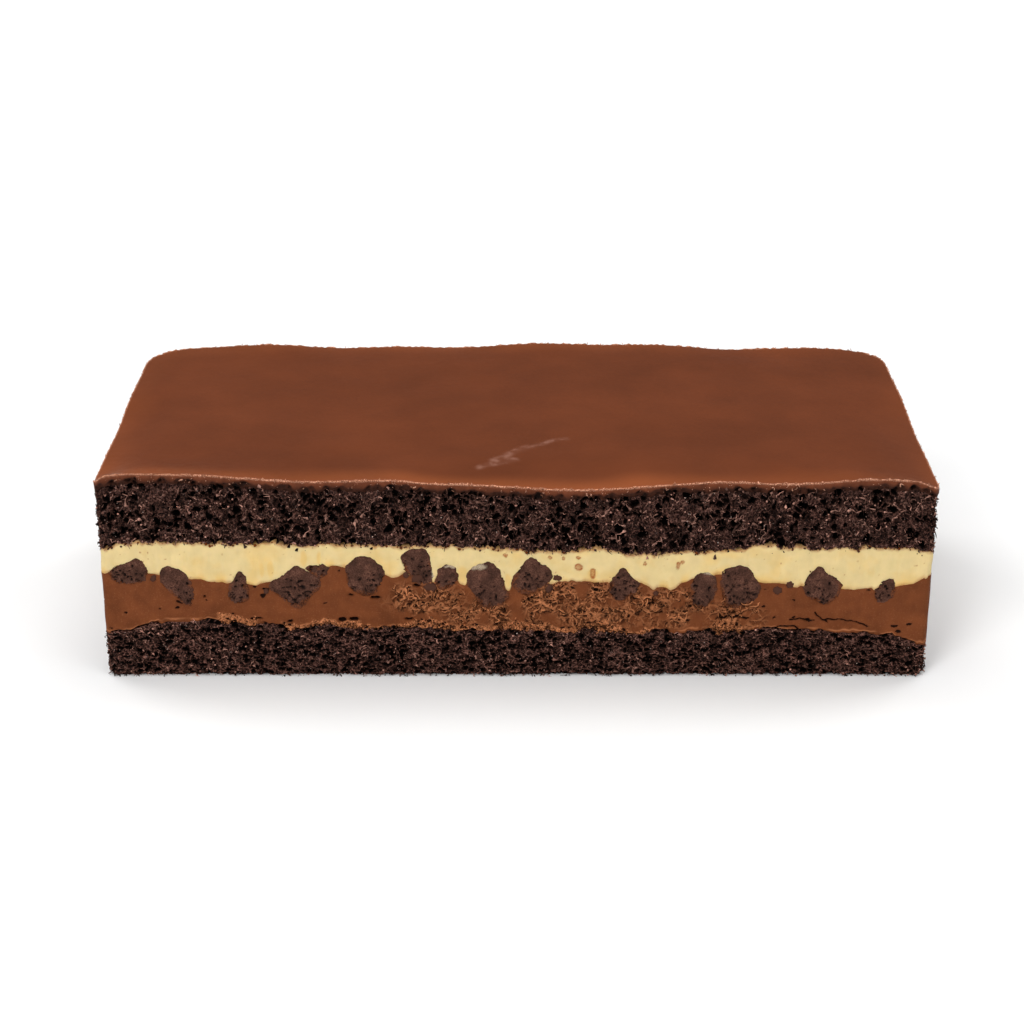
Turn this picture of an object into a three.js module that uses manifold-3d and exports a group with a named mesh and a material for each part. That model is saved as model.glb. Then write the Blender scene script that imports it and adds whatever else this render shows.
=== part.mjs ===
// A tuxedo cake: a long bar of two dark chocolate sponges, with vanilla mousse, chocolate mousse and
// diced brownie between them, under a set layer of chocolate ganache. All four sides are cut, so
// every layer shows there. Millimetres, +Z up. The origin is the centre of the flat base, and the
// front cut looks along -Y.
import * as THREE from "three";
import { ConvexGeometry } from "three/addons/geometries/ConvexGeometry.js";
import { mergeVertices } from "three/addons/utils/BufferGeometryUtils.js";
import Module from "manifold-3d";

// ---- Driving dimensions ------------------------------------------------------------------------

const LENGTH = 254;
const DEPTH = 127;
const FRONT_CORNER_RADIUS = 2.5;
const BACK_CORNER_RADIUS = 18;
const BACK_BOW = 4; // how far the back cut curves in towards its two ends
const GANACHE_THICKNESS = 3.2;
const GANACHE_EDGE_ROUND = 0.9;
const LAYER_GAP = 0.3; // clearance between neighbouring pieces
const CORE_INSET = 16; // further in from the cut faces than this, every layer is level

// Level of each layer's upper side over the core.
const BASE_LEVEL = 17.6;
const SEAM_LEVEL = 33.2;
const SPONGE_UNDERSIDE_LEVEL = 44;
const TOP_LEVEL = 65.2;

// How many columns the outline has along the front, the back, each end and each corner, and how
// many of them share one point of the core's edge.
const COLUMNS = { front: 58, back: 32, end: 15, frontCorner: 2, backCorner: 4 };
const COLUMNS_PER_CORE_POINT = 4;

// Heights along the front cut, as [x, z] points from its left end to its right end.
const FRONT_TOP = [
  [-127, 64.2], [-123.5, 67.2], [-116, 67.8], [-102, 67.4], [-60, 65.1], [-41, 65.6], [-20, 64.3],
  [19, 62.4], [64, 65.0], [80, 64.3], [110, 65.9], [121, 65.2], [127, 62.7],
];
const FRONT_SPONGE_UNDERSIDE = [
  [-127, 42.4], [-118, 45.2], [-80, 44.6], [-37, 43.9], [-8, 43.2], [14, 42.2], [24, 43.1],
  [34, 40.9], [68, 42.4], [74, 44.6], [80, 43.1], [112, 43.3], [127, 42.0],
];
const FRONT_MOUSSE_SEAM = [
  [-127, 35.0], [-120, 37.4], [-108, 34.0], [-94, 32.2], [-76, 31.4], [-55, 37.2], [-37, 34.4],
  [-3, 32.4], [38, 32.2], [45, 29.7], [60, 35.0], [76, 32.0], [104, 29.4], [117, 30.6], [127, 34.2],
];
const FRONT_BASE_TOP = [
  [-127, 14.4], [-120, 15.3], [-108, 18.4], [-90, 19.4], [-70, 17.1], [-57, 18.8], [-46, 17.1],
  [15, 16.6], [50, 14.8], [68, 16.3], [100, 15.1], [112, 14.1], [127, 10.4],
];

// How far the same heights swell along the back and the two ends, and where each swell starts. The
// swell is a long wave with a shorter and lower one on it.
const LONG_WAVE = 120;
const SHORT_WAVE = 46;
const SHORT_WAVE_SHARE = 0.55;
const BACK_TOP = { level: TOP_LEVEL, swell: 0.7, phase: 0.4 };
const BACK_SPONGE_UNDERSIDE = { level: SPONGE_UNDERSIDE_LEVEL, swell: 0.9, phase: 1.7 };
const BACK_MOUSSE_SEAM = { level: SEAM_LEVEL, swell: 1.9, phase: 2.9 };
const BACK_BASE_TOP = { level: BASE_LEVEL, swell: 1.3, phase: 4.2 };

// Brownie pieces that show at the front cut: the corners of each, as [x, z] points.
const FRONT_BROWNIES = [
  [[-124.5, 35.5], [-122, 37.5], [-117, 39.5], [-114, 39.5], [-112, 36.5], [-112.5, 32.5],
   [-117, 31], [-120.5, 31.5], [-123.5, 33]],
  [[-107.5, 36.5], [-105, 37.5], [-103, 37], [-100.5, 34.5], [-98.5, 30.5], [-98.5, 26.5],
   [-100, 24], [-101.5, 24.5], [-106, 28.5], [-108.5, 31.5], [-108.5, 34]],
  [[-84, 36], [-82.5, 34], [-81.5, 29.5], [-81.5, 25.5], [-84.5, 24.5], [-87.5, 25.5],
   [-88.5, 27.5], [-87.5, 31], [-85.5, 34.5]],
  [[-67, 38], [-64, 35], [-60, 33.5], [-59.5, 31], [-61, 28.5], [-65.5, 23.5], [-68, 23.5],
   [-71, 26.5], [-76, 30], [-74.5, 32], [-72, 34]],
  [[-64.5, 37], [-62.5, 38], [-59.5, 38], [-57, 37], [-57.5, 34.5], [-60, 33], [-63, 33.5]],
  [[-52, 37], [-50, 40], [-47.5, 41], [-44.5, 40.5], [-42.5, 38.5], [-39.5, 35], [-41, 32.5],
   [-43, 28], [-46, 26.5], [-50.5, 29], [-52, 32]],
  [[-35.5, 40], [-34.5, 42], [-32.5, 43.5], [-27.5, 43.5], [-26, 40.5], [-25, 33.5],
   [-26.5, 31.5], [-30, 31.5], [-34, 35.5]],
  [[-24, 36.5], [-21.5, 38], [-18.5, 37.5], [-18, 34.5], [-18.5, 31.5], [-20.5, 29.5],
   [-23.5, 29], [-25, 31]],
  [[-15.5, 34], [-14, 36.5], [-8.5, 39], [-5.5, 36.5], [-3.5, 32], [-2.5, 27.5], [-3.5, 24.5],
   [-8, 23], [-11.5, 24], [-15, 31.5]],
  [[-1.5, 33], [0, 36], [4, 40], [6, 39.5], [10.5, 36], [11, 33], [8.5, 30.5], [4.5, 28],
   [1.5, 28], [-1.5, 30.5]],
  [[28, 31.5], [29.5, 34], [31.5, 36.5], [33, 36.5], [38, 31.5], [36.5, 28.5], [33.5, 26],
   [30, 25.5], [28, 28.5]],
  [[53, 31], [54, 34.5], [58, 36], [61, 34], [61.5, 29.5], [59.5, 25], [57.5, 23], [55, 23.5],
   [53, 26.5]],
  [[62, 33.5], [63.5, 37], [68, 38], [71, 36.5], [75, 30], [74, 26.5], [70.5, 23.5], [65, 23],
   [62.5, 27]],
  [[91, 37.5], [92.5, 37], [99.5, 31.5], [99, 29], [96, 24.5], [93.5, 24], [88.5, 27.5],
   [87, 30.5], [88, 33]],
  [[109, 29.5], [112.5, 33], [114.5, 33], [115.5, 30.5], [115.5, 27], [113.5, 25.5], [110, 25.5],
   [109, 27]],
];

// Brownie pieces along the other cuts: how many, over what length, and the seed of their scatter.
const BACK_BROWNIES = { count: 14, span: 228, seed: 71 };
const LEFT_BROWNIES = { count: 5, span: 100, seed: 29 };
const RIGHT_BROWNIES = { count: 5, span: 100, seed: 53 };
const BROWNIE_SMALLEST = 8;
const BROWNIE_LARGEST = 14.5;
const BROWNIE_LEVEL = 32.4;
const BROWNIE_LEVEL_SPREAD = 3.4;
const BROWNIE_SCATTER = 0.34; // share of their spacing
const BROWNIE_DEPTH = 0.58; // how far in a piece goes, as a share of its width and height
const BROWNIE_STRAIGHT = 0.8; // how far in it starts to taper
const BROWNIE_TAPER = 0.7; // size of its inner end, as a share of the cut face
const BROWNIE_TRIMMED = 3; // how much of it the cut takes off
const BROWNIE_UNEVENNESS = 0.16; // share of a half side by which the corners differ
const BROWNIE_CHIP = 0.2; // least share of a half side that a corner loses; the most is twice that

// Each layer's cut face: rows up it, how far its crags go in, and their seed.
const CUT_FACES = {
  sponge_bottom: { rows: 4, roughness: 1.8, seed: 11 },
  chocolate_mousse: { rows: 2, roughness: 0.5, seed: 12 },
  vanilla_mousse: { rows: 2, roughness: 0.5, seed: 13 },
  sponge_top: { rows: 5, roughness: 1.8, seed: 14 },
};
const CRAG_SPARSENESS = 1.5; // above 1, deep crags are rarer than shallow ones

const LOOKS = {
  sponge: { color: 0x2f1e1a, roughness: 0.9 },
  chocolate_mousse: { color: 0x713f26, roughness: 0.6 },
  vanilla_mousse: { color: 0xe6cf95, roughness: 0.5 },
  ganache: { color: 0x74402a, roughness: 0.3 },
  brownie: { color: 0x40291f, roughness: 0.8 },
};

// ---- Seeded randomness and profiles ------------------------------------------------------------

// A small repeatable generator of numbers from 0 to 1.
function randomFrom(seed) {
  let state = seed >>> 0;
  return () => {
    state = (state * 1664525 + 1013904223) >>> 0;
    return state / 4294967296;
  };
}

const { lerp, smoothstep, degToRad } = THREE.MathUtils;

// The height at x on a profile of [x, z] points, eased between neighbouring points.
function heightAt(points, x) {
  const last = points.length - 1;
  if (x <= points[0][0]) return points[0][1];
  if (x >= points[last][0]) return points[last][1];
  const i = points.findIndex((point) => point[0] > x);
  const [fromX, fromZ] = points[i - 1];
  const [toX, toZ] = points[i];
  return lerp(fromZ, toZ, smoothstep(x, fromX, toX));
}

// The height at a distance along a side whose profile isn't set point by point.
function swellAt({ level, swell, phase }, distance) {
  const long = Math.sin((2 * Math.PI * distance) / LONG_WAVE + phase);
  const short = Math.sin((2 * Math.PI * distance) / SHORT_WAVE + 2 * phase);
  return level + swell * (long + SHORT_WAVE_SHARE * short);
}

// A surface between two layers: its level over the core, and its height at a point of the cut
// faces. That height follows one profile along the front and another along the back, and goes from
// the first to the second along the ends, where it swells too.
function surface(frontPoints, back) {
  const at = ({ x, y }) => {
    const backness = smoothstep(y, -DEPTH / 2, DEPTH / 2);
    const midway = 4 * backness * (1 - backness);
    const endSwell = swellAt({ ...back, level: 0 }, y);
    return lerp(heightAt(frontPoints, x), swellAt(back, x), backness) + midway * endSwell;
  };
  return { at, core: back.level };
}

const cakeUnderside = { at: () => 0, core: 0 };
const baseTop = surface(FRONT_BASE_TOP, BACK_BASE_TOP);
const mousseSeam = surface(FRONT_MOUSSE_SEAM, BACK_MOUSSE_SEAM);
const spongeUnderside = surface(FRONT_SPONGE_UNDERSIDE, BACK_SPONGE_UNDERSIDE);
const cakeTop = surface(FRONT_TOP, BACK_TOP);
const spongeTop = {
  at: (point) => cakeTop.at(point) - GANACHE_THICKNESS,
  core: cakeTop.core - GANACHE_THICKNESS,
};

// How far the back cut has come in at a distance along it.
const backBow = (x) => BACK_BOW * (x / (LENGTH / 2)) ** 2;

// ---- The outline of the bar --------------------------------------------------------------------

// The bar's outline in plan, anticlockwise from the front left, drawn in by an inset.
function outline(inset = 0) {
  const halfX = LENGTH / 2 - inset;
  const halfY = DEPTH / 2 - inset;
  const front = Math.max(FRONT_CORNER_RADIUS - inset, 1);
  const back = Math.max(BACK_CORNER_RADIUS - inset, 1);
  const points = [];
  const side = (fromX, fromY, toX, toY, count) => {
    for (let i = 0; i < count; i++) {
      points.push(new THREE.Vector2(lerp(fromX, toX, i / count), lerp(fromY, toY, i / count)));
    }
  };
  const corner = (centreX, centreY, radius, startDegrees, count) => {
    for (let i = 0; i < count; i++) {
      const angle = degToRad(startDegrees + (90 * i) / count);
      points.push(
        new THREE.Vector2(centreX + radius * Math.cos(angle), centreY + radius * Math.sin(angle)),
      );
    }
  };
  side(-halfX + front, -halfY, halfX - front, -halfY, COLUMNS.front);
  corner(halfX - front, -halfY + front, front, -90, COLUMNS.frontCorner);
  side(halfX, -halfY + front, halfX, halfY - back, COLUMNS.end);
  corner(halfX - back, halfY - back, back, 0, COLUMNS.backCorner);
  side(halfX - back, halfY, -halfX + back, halfY, COLUMNS.back);
  corner(-halfX + back, halfY - back, back, 90, COLUMNS.backCorner);
  side(-halfX, halfY - back, -halfX, -halfY + front, COLUMNS.end);
  corner(-halfX + front, -halfY + front, front, 180, COLUMNS.frontCorner);
  for (const point of points) {
    if (point.y > 0) point.y -= BACK_BOW * (point.x / halfX) ** 2 * (point.y / halfY);
  }
  return points;
}

// A ring of points over a plan, each at the height that its place in the outline has.
const cutFace = outline();
const ringOver = (plan, height) =>
  plan.map(({ x, y }, i) => new THREE.Vector3(x, y, height(cutFace[i])));

// The edge of the level core at one height.
const coreEdge = outline(CORE_INSET).filter((_, i) => i % COLUMNS_PER_CORE_POINT === 0);
const coreAt = (z) => coreEdge.map(({ x, y }) => new THREE.Vector3(x, y, z));

// ---- Solids ------------------------------------------------------------------------------------

const wasm = await Module();
wasm.setup();

// A closed three.js geometry as a solid that can be cut and joined.
function solidFrom(geometry) {
  const bare = new THREE.BufferGeometry().setAttribute("position", geometry.getAttribute("position"));
  if (geometry.index) bare.setIndex(geometry.index);
  const merged = mergeVertices(bare, 1e-4);
  return new wasm.Manifold(
    new wasm.Mesh({
      numProp: 3,
      vertProperties: new Float32Array(merged.getAttribute("position").array),
      triVerts: new Uint32Array(merged.index.array),
    }),
  );
}

// A solid as a three.js geometry.
function geometryFrom(solid) {
  const mesh = solid.getMesh();
  const geometry = new THREE.BufferGeometry();
  geometry.setAttribute("position", new THREE.BufferAttribute(mesh.vertProperties, 3));
  geometry.setIndex(new THREE.BufferAttribute(mesh.triVerts, 1));
  geometry.computeVertexNormals();
  return geometry;
}

// A closed body. Its wall joins rings of points over the outline, from the lowest to the highest.
// Its underside and its top each slope in from the wall to the core, and are level across it.
function closedBody(rings, levelBelow, levelAbove) {
  const count = cutFace.length;
  const points = rings.flat();
  const indices = [];
  for (let low = 0; low < points.length - count; low += count) {
    const high = low + count;
    for (let i = 0; i < count; i++) {
      const next = (i + 1) % count;
      indices.push(low + i, low + next, high + next, low + i, high + next, high + i);
    }
  }
  const cap = (ring, level, facesUp) => {
    const core = points.length;
    const centre = core + coreEdge.length;
    points.push(...coreAt(level), new THREE.Vector3(0, 0, level));
    const faces = cutFace.map((_, i) => {
      return [ring + i, ring + ((i + 1) % count), core + Math.floor(i / COLUMNS_PER_CORE_POINT)];
    });
    coreEdge.forEach((_, i) => {
      const next = (i + 1) % coreEdge.length;
      faces.push([ring + next * COLUMNS_PER_CORE_POINT, core + next, core + i]);
      faces.push([core + i, core + next, centre]);
    });
    for (const face of faces) indices.push(...(facesUp ? face : face.reverse()));
  };
  const topRing = points.length - count;
  cap(0, levelBelow, false);
  cap(topRing, levelAbove, true);
  const geometry = new THREE.BufferGeometry();
  const positions = points.flatMap((point) => [point.x, point.y, point.z]);
  geometry.setAttribute("position", new THREE.Float32BufferAttribute(positions, 3));
  geometry.setIndex(indices);
  return solidFrom(geometry);
}

// One layer of the bar, from one surface up to another. Between those two, its cut face has rows of
// crags.
function layer(name, below, above) {
  const { rows, roughness, seed } = CUT_FACES[name];
  const random = randomFrom(seed);
  const rings = [];
  for (let row = 0; row <= rows; row++) {
    const ring = ringOver(cutFace, (point) => lerp(below.at(point), above.at(point), row / rows));
    if (row > 0 && row < rows) {
      for (const point of ring) {
        const crag = roughness * random() ** CRAG_SPARSENESS;
        const inwards = 1 - crag / Math.hypot(point.x, point.y);
        point.x *= inwards;
        point.y *= inwards;
      }
    }
    rings.push(ring);
  }
  return closedBody(rings, below.core, above.core);
}

// A surface moved up or down, so that the layers on its two sides stay clear of each other.
const moved = ({ at, core }, by) => ({ at: (point) => at(point) + by, core: core + by });
const under = (surface) => moved(surface, -LAYER_GAP / 2);
const over = (surface) => moved(surface, LAYER_GAP / 2);

// The ganache: a cut band at the edge, a small round over it, and the top.
function ganache() {
  const underside = over(spongeTop);
  const shoulder = outline(GANACHE_EDGE_ROUND);
  const rings = [
    ringOver(cutFace, underside.at),
    ringOver(cutFace, (point) => cakeTop.at(point) - GANACHE_EDGE_ROUND),
    ringOver(shoulder, cakeTop.at),
  ];
  return closedBody(rings, underside.core, cakeTop.core);
}

// ---- Brownies ----------------------------------------------------------------------------------

// A piece of brownie whose cut face has the given corners, and which tapers inwards from there. A
// clearance makes it larger all round.
function brownieBlock({ width, height, corners }, clearance) {
  const depth = (BROWNIE_DEPTH * (width + height)) / 2 + clearance;
  const points = [];
  for (const [y, size] of [[-BROWNIE_TRIMMED, 1], [BROWNIE_STRAIGHT, 1], [depth, BROWNIE_TAPER]]) {
    for (const corner of corners) {
      const grown = size * (1 + clearance / corner.length());
      points.push(new THREE.Vector3(corner.x * grown, y, corner.y * grown));
    }
  }
  return new ConvexGeometry(points);
}

// A piece whose corners are given as [x, z] points of the cut.
function measuredBrownie(points) {
  const corners = points.map(([x, z]) => new THREE.Vector2(x, z));
  const box = new THREE.Box2().setFromPoints(corners);
  const middle = box.getCenter(new THREE.Vector2());
  const { x: width, y: height } = box.getSize(new THREE.Vector2());
  for (const corner of corners) corner.sub(middle);
  return { along: middle.x, level: middle.y, width, height, corners };
}

// The corners of a rectangle that are uneven and chipped.
function chippedCorners(width, height, tilt, random) {
  const uneven = (share) => share + BROWNIE_UNEVENNESS * (random() - 0.5);
  const corners = [];
  for (const [signX, signZ] of [[-1, -1], [-1, 1], [1, -1], [1, 1]]) {
    const chipped = 1 - BROWNIE_CHIP * (1 + random());
    for (const [x, z] of [[chipped, 1], [1, chipped]]) {
      corners.push(
        new THREE.Vector2((signX * uneven(x) * width) / 2, (signZ * uneven(z) * height) / 2),
      );
    }
  }
  for (const corner of corners) corner.rotateAround(new THREE.Vector2(), degToRad(tilt));
  return corners;
}

// Where a distance along a side lies in plan, and how a piece turns to look out of that side.
const SIDES = {
  front: { turn: 0, place: (along) => [along, -DEPTH / 2] },
  back: { turn: 180, place: (along) => [along, DEPTH / 2 - backBow(along)] },
  left: { turn: -90, place: (along) => [-LENGTH / 2, along] },
  right: { turn: 90, place: (along) => [LENGTH / 2, along] },
};

// The brownies that a side shows, spaced evenly with some scatter.
function scatteredBrownies({ count, span, seed }) {
  const random = randomFrom(seed);
  return Array.from({ length: count }, (_, i) => {
    const size = lerp(BROWNIE_SMALLEST, BROWNIE_LARGEST, random());
    const along = (span * (i + 0.5 + BROWNIE_SCATTER * (random() - 0.5))) / count - span / 2;
    const level = BROWNIE_LEVEL + BROWNIE_LEVEL_SPREAD * (random() - 0.5);
    const height = size * lerp(0.85, 1.15, random());
    const corners = chippedCorners(size, height, 90 * (random() - 0.5), random);
    return { along, level, width: size, height, corners };
  });
}

const brownieRows = {
  front: FRONT_BROWNIES.map(measuredBrownie),
  back: scatteredBrownies(BACK_BROWNIES),
  left: scatteredBrownies(LEFT_BROWNIES),
  right: scatteredBrownies(RIGHT_BROWNIES),
};

// ---- Assembly ----------------------------------------------------------------------------------

const cake = new THREE.Group();
cake.name = "tuxedo_cake";

function add(name, solid, look) {
  const material = new THREE.MeshStandardMaterial({ ...LOOKS[look], metalness: 0 });
  const mesh = new THREE.Mesh(geometryFrom(solid), material);
  mesh.name = name;
  cake.add(mesh);
}

const pockets = [];
const cutOut = (solid) => pockets.reduce((rest, pocket) => rest.subtract(pocket), solid);

// Everything inside the cut faces, which trims each brownie flush with its side.
const flatRing = (z) => ringOver(cutFace, () => z);
const wholeBar = closedBody([flatRing(0), flatRing(TOP_LEVEL)], 0, TOP_LEVEL);

for (const [sideName, row] of Object.entries(brownieRows)) {
  const side = SIDES[sideName];
  row.forEach((piece, i) => {
    const brownie = (clearance) => {
      const block = brownieBlock(piece, clearance);
      block.rotateZ(degToRad(side.turn));
      block.translate(...side.place(piece.along), piece.level);
      return solidFrom(block);
    };
    const number = String(i + 1).padStart(2, "0");
    add(`brownie_${sideName}_${number}`, cutOut(brownie(0).intersect(wholeBar)), "brownie");
    pockets.push(brownie(LAYER_GAP));
  });
}

const spongeBottom = layer("sponge_bottom", cakeUnderside, under(baseTop));
const chocolateMousse = layer("chocolate_mousse", over(baseTop), under(mousseSeam));
const vanillaMousse = layer("vanilla_mousse", over(mousseSeam), under(spongeUnderside));
const spongeTopLayer = layer("sponge_top", over(spongeUnderside), under(spongeTop));

add("sponge_bottom", spongeBottom, "sponge");
add("chocolate_mousse", cutOut(chocolateMousse), "chocolate_mousse");
add("vanilla_mousse", cutOut(vanillaMousse), "vanilla_mousse");
add("sponge_top", cutOut(spongeTopLayer), "sponge");
add("ganache", ganache(), "ganache");

export default cake;
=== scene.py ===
"""Dresses the solids of a layered chocolate bar cake: sponge crumb, mousses, brownie and ganache."""

import math
from collections import namedtuple
from itertools import product

import bmesh
import bpy
import numpy as np
from bpy.props import FloatProperty, FloatVectorProperty, IntProperty, PointerProperty
from mathutils import Matrix, Vector
from mathutils.bvhtree import BVHTree


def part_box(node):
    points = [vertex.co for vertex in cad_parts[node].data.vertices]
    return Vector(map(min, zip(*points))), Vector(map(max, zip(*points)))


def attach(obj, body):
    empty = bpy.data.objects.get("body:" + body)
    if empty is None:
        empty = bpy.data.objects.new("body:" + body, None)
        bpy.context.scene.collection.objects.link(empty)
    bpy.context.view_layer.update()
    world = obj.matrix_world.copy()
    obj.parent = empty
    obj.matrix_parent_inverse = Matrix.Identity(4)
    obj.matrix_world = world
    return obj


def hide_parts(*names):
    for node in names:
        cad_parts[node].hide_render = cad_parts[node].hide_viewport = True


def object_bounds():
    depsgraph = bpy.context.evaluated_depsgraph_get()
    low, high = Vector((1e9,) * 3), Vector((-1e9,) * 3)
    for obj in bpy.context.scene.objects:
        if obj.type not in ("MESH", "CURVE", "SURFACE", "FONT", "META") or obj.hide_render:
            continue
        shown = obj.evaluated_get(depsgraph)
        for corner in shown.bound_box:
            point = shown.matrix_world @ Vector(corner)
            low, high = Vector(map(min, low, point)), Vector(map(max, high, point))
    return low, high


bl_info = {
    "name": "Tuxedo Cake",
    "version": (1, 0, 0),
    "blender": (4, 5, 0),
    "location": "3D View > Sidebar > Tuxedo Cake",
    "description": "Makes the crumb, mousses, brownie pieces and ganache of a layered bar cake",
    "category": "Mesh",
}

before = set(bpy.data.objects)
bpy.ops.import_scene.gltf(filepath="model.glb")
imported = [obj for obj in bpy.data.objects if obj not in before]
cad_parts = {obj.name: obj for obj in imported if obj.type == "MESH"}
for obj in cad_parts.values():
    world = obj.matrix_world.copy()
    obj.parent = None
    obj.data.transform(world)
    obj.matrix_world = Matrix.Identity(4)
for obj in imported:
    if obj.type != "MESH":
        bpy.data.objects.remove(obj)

MM = 0.001
CAD_BOX = [list(corner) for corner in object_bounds()]
BODY = "root"

# ---- The bar's plan, in metres -------------------------------------------------------------------

HALF = np.array(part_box("sponge_top")[1][:2])  # half its length and half its depth
FRONT_CORNER = 2.5 * MM
BACK_CORNER = 18 * MM
BACK_BOW = 4 * MM  # how far the back cut curves in towards its two ends

# Each side of the bar: the way along it, with its outside on the right, and the way that it looks.
SIDES = {
    "front": ((1, 0), (0, -1)),
    "right": ((0, 1), (1, 0)),
    "back": ((-1, 0), (0, 1)),
    "left": ((0, -1), (-1, 0)),
}

FRONT_FACING = 0.9  # a place whose way out points forward by more than this is on the front cut
PROBE_INSET = 0.3 * MM  # where the solids' levels are read, in from the cut faces
CORNER_INSET = 0.8 * MM
POCKET_GAP = 0.6 * MM  # two layers further apart than this have a pocket between them
SKY = 0.2  # higher than the cake
OVERLAP = 0.3 * MM  # how far each layer runs on past its seams
FOOT_ROUND = 1.0 * MM  # how far the cut faces turn in where the cake stands
CORE_INSET = 16 * MM

# ---- What shows on the front cut, in millimetres along it and up it ------------------------------

# Tongues of cream that hang down between the brownie pieces: place, half width and length.
CREAM_TONGUES = [
    (-64.3, 1.3, 1.8), (-37.3, 2.6, 1.0), (-25.4, 0.7, 1.6), (-16.4, 1.8, 2.6), (-2.6, 1.4, 3.4),
    (11.0, 1.6, 0.7), (47.6, 2.2, 0.8), (85.0, 1.4, 0.9),
]

# Orange-brown spots in the cream, most of them ring-shaped: place, level, half width and half height.
CREAM_STAINS = [
    (18.9, 37.0, 1.3, 1.1), (23.2, 34.9, 0.9, 1.9), (-3.5, 41.0, 0.6, 0.6), (10.1, 40.4, 0.7, 0.6),
    (14.1, 39.8, 0.5, 0.6), (18.6, 40.1, 0.7, 0.5), (38.9, 38.1, 0.5, 0.6), (49.0, 37.4, 0.6, 1.1),
    (50.2, 38.6, 0.6, 0.6), (-33.9, 38.9, 0.5, 0.8),
]

# Yellower streaks in the cream: place, level, half width and half height.
CREAM_STREAKS = [
    (-77.4, 36.4, 0.9, 3.0), (-74.8, 36.6, 1.2, 3.4), (-64.5, 40.0, 1.2, 3.0), (-60.0, 40.0, 0.8, 2.4),
    (-16.4, 34.6, 1.7, 3.4), (-38.6, 35.6, 0.5, 4.0), (-2.6, 32.4, 1.2, 2.6), (23.0, 34.6, 2.0, 2.0),
    (33.0, 35.4, 1.2, 1.4),
]

# Holes in the mousse and beside the brownie pieces: place, level, width and height.
MOUSSE_HOLES = [
    (-95.4, 27.4, 1.2, 0.9), (-24.3, 33.9, 2.4, 3.2), (-82.9, 26.4, 2.2, 1.2), (-43.0, 26.6, 3.4, 1.2),
    (-50.5, 27.6, 1.6, 0.9), (-30.5, 31.0, 2.6, 1.0), (-20.5, 27.4, 1.4, 0.8), (2.6, 28.2, 2.2, 1.2),
    (-3.0, 26.6, 1.0, 0.7), (27.6, 27.2, 1.2, 0.8), (-79.8, 19.6, 5.0, 1.1), (-53.4, 19.4, 2.6, 1.7),
    (-49.6, 19.3, 3.0, 1.6), (-69.5, 18.6, 2.4, 1.0), (-33.0, 19.6, 3.6, 0.9), (33.0, 27.8, 1.6, 0.8),
    (41.5, 26.0, 2.0, 1.0), (43.5, 22.0, 2.6, 0.7),
]

# Thin cracks that run along the mousse: points of place and level.
MOUSSE_CRACKS = [
    [(84.1, 19.3), (86.8, 19.8), (89.5, 18.8), (90.9, 19.2)],
    [(91.3, 21.8), (92.2, 20.5), (93.8, 19.0), (95.4, 18.3)],
    [(94.5, 18.8), (95.8, 19.5), (99.9, 19.4), (103.9, 18.5), (108.0, 16.7)],
    [(76.5, 15.0), (78.7, 16.7), (81.4, 17.2), (85.0, 17.0), (86.8, 15.7), (89.5, 15.2), (95.8, 15.1)],
    [(62.0, 20.2), (66.5, 20.4), (71.0, 19.8)],
]

# Parts of the mousse that the knife scraped up: middle, level, half width and half height.
MOUSSE_SCRAPES = [
    (18.0, 24.0, 28.0, 10.0), (49.0, 23.0, 16.0, 7.5), (64.0, 20.0, 14.0, 6.0), (-27.0, 26.5, 15.0, 7.0),
    (-7.0, 21.0, 17.0, 5.5),
]

# Stretches of its foot that are crumbled into flakes: where each starts and ends.
MOUSSE_FLAKES = [(-91.5, -79.5), (-72.0, -38.5), (-37.0, 42.0), (60.0, 70.0)]

# Smears of cream over the brownie pieces: place, level, half width and half height.
CREAM_SMEARS = [
    (59.5, 35.2, 2.6, 0.8), (-25.4, 34.2, 0.6, 1.9), (-11.6, 37.0, 2.8, 0.9), (-19.8, 37.4, 2.4, 0.5),
]

# Small bits of brownie beside the larger pieces: place, level and size.
BROWNIE_BITS = [
    (79.4, 29.4, 4.6), (83.3, 31.3, 3.8), (-26.2, 30.4, 4.4), (-110.5, 33.4, 2.6), (9.6, 30.2, 3.8),
    (-30.4, 33.2, 4.2), (-33.6, 34.4, 3.2), (12.4, 33.4, 3.0), (-76.4, 29.0, 2.8), (42.4, 28.4, 2.6),
]

# Pale scuffs on the ganache: where each starts and ends in plan, and its half width.
GANACHE_SCUFFS = [((-11, -51), (-2, -46), 2.2), ((-7, -46), (4, -34), 2.6), ((4, -34), (15, -27), 1.8)]


# ---- Settings ------------------------------------------------------------------------------------


def length(name, description, millimetres):
    """A length, given in millimetres."""
    return FloatProperty(name=name, description=description, default=millimetres * MM, unit="LENGTH")


def colour(name, description, red, green, blue):
    """A colour, given in linear values."""
    return FloatVectorProperty(
        name=name, description=description, default=(red, green, blue), subtype="COLOR", min=0, max=1
    )


def share(name, description, value):
    """A number from 0 to 1."""
    return FloatProperty(name=name, description=description, default=value, min=0, max=1, subtype="FACTOR")


def count(name, description, value):
    """A whole number from 1 up."""
    return IntProperty(name=name, description=description, default=value, min=1)


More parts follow.
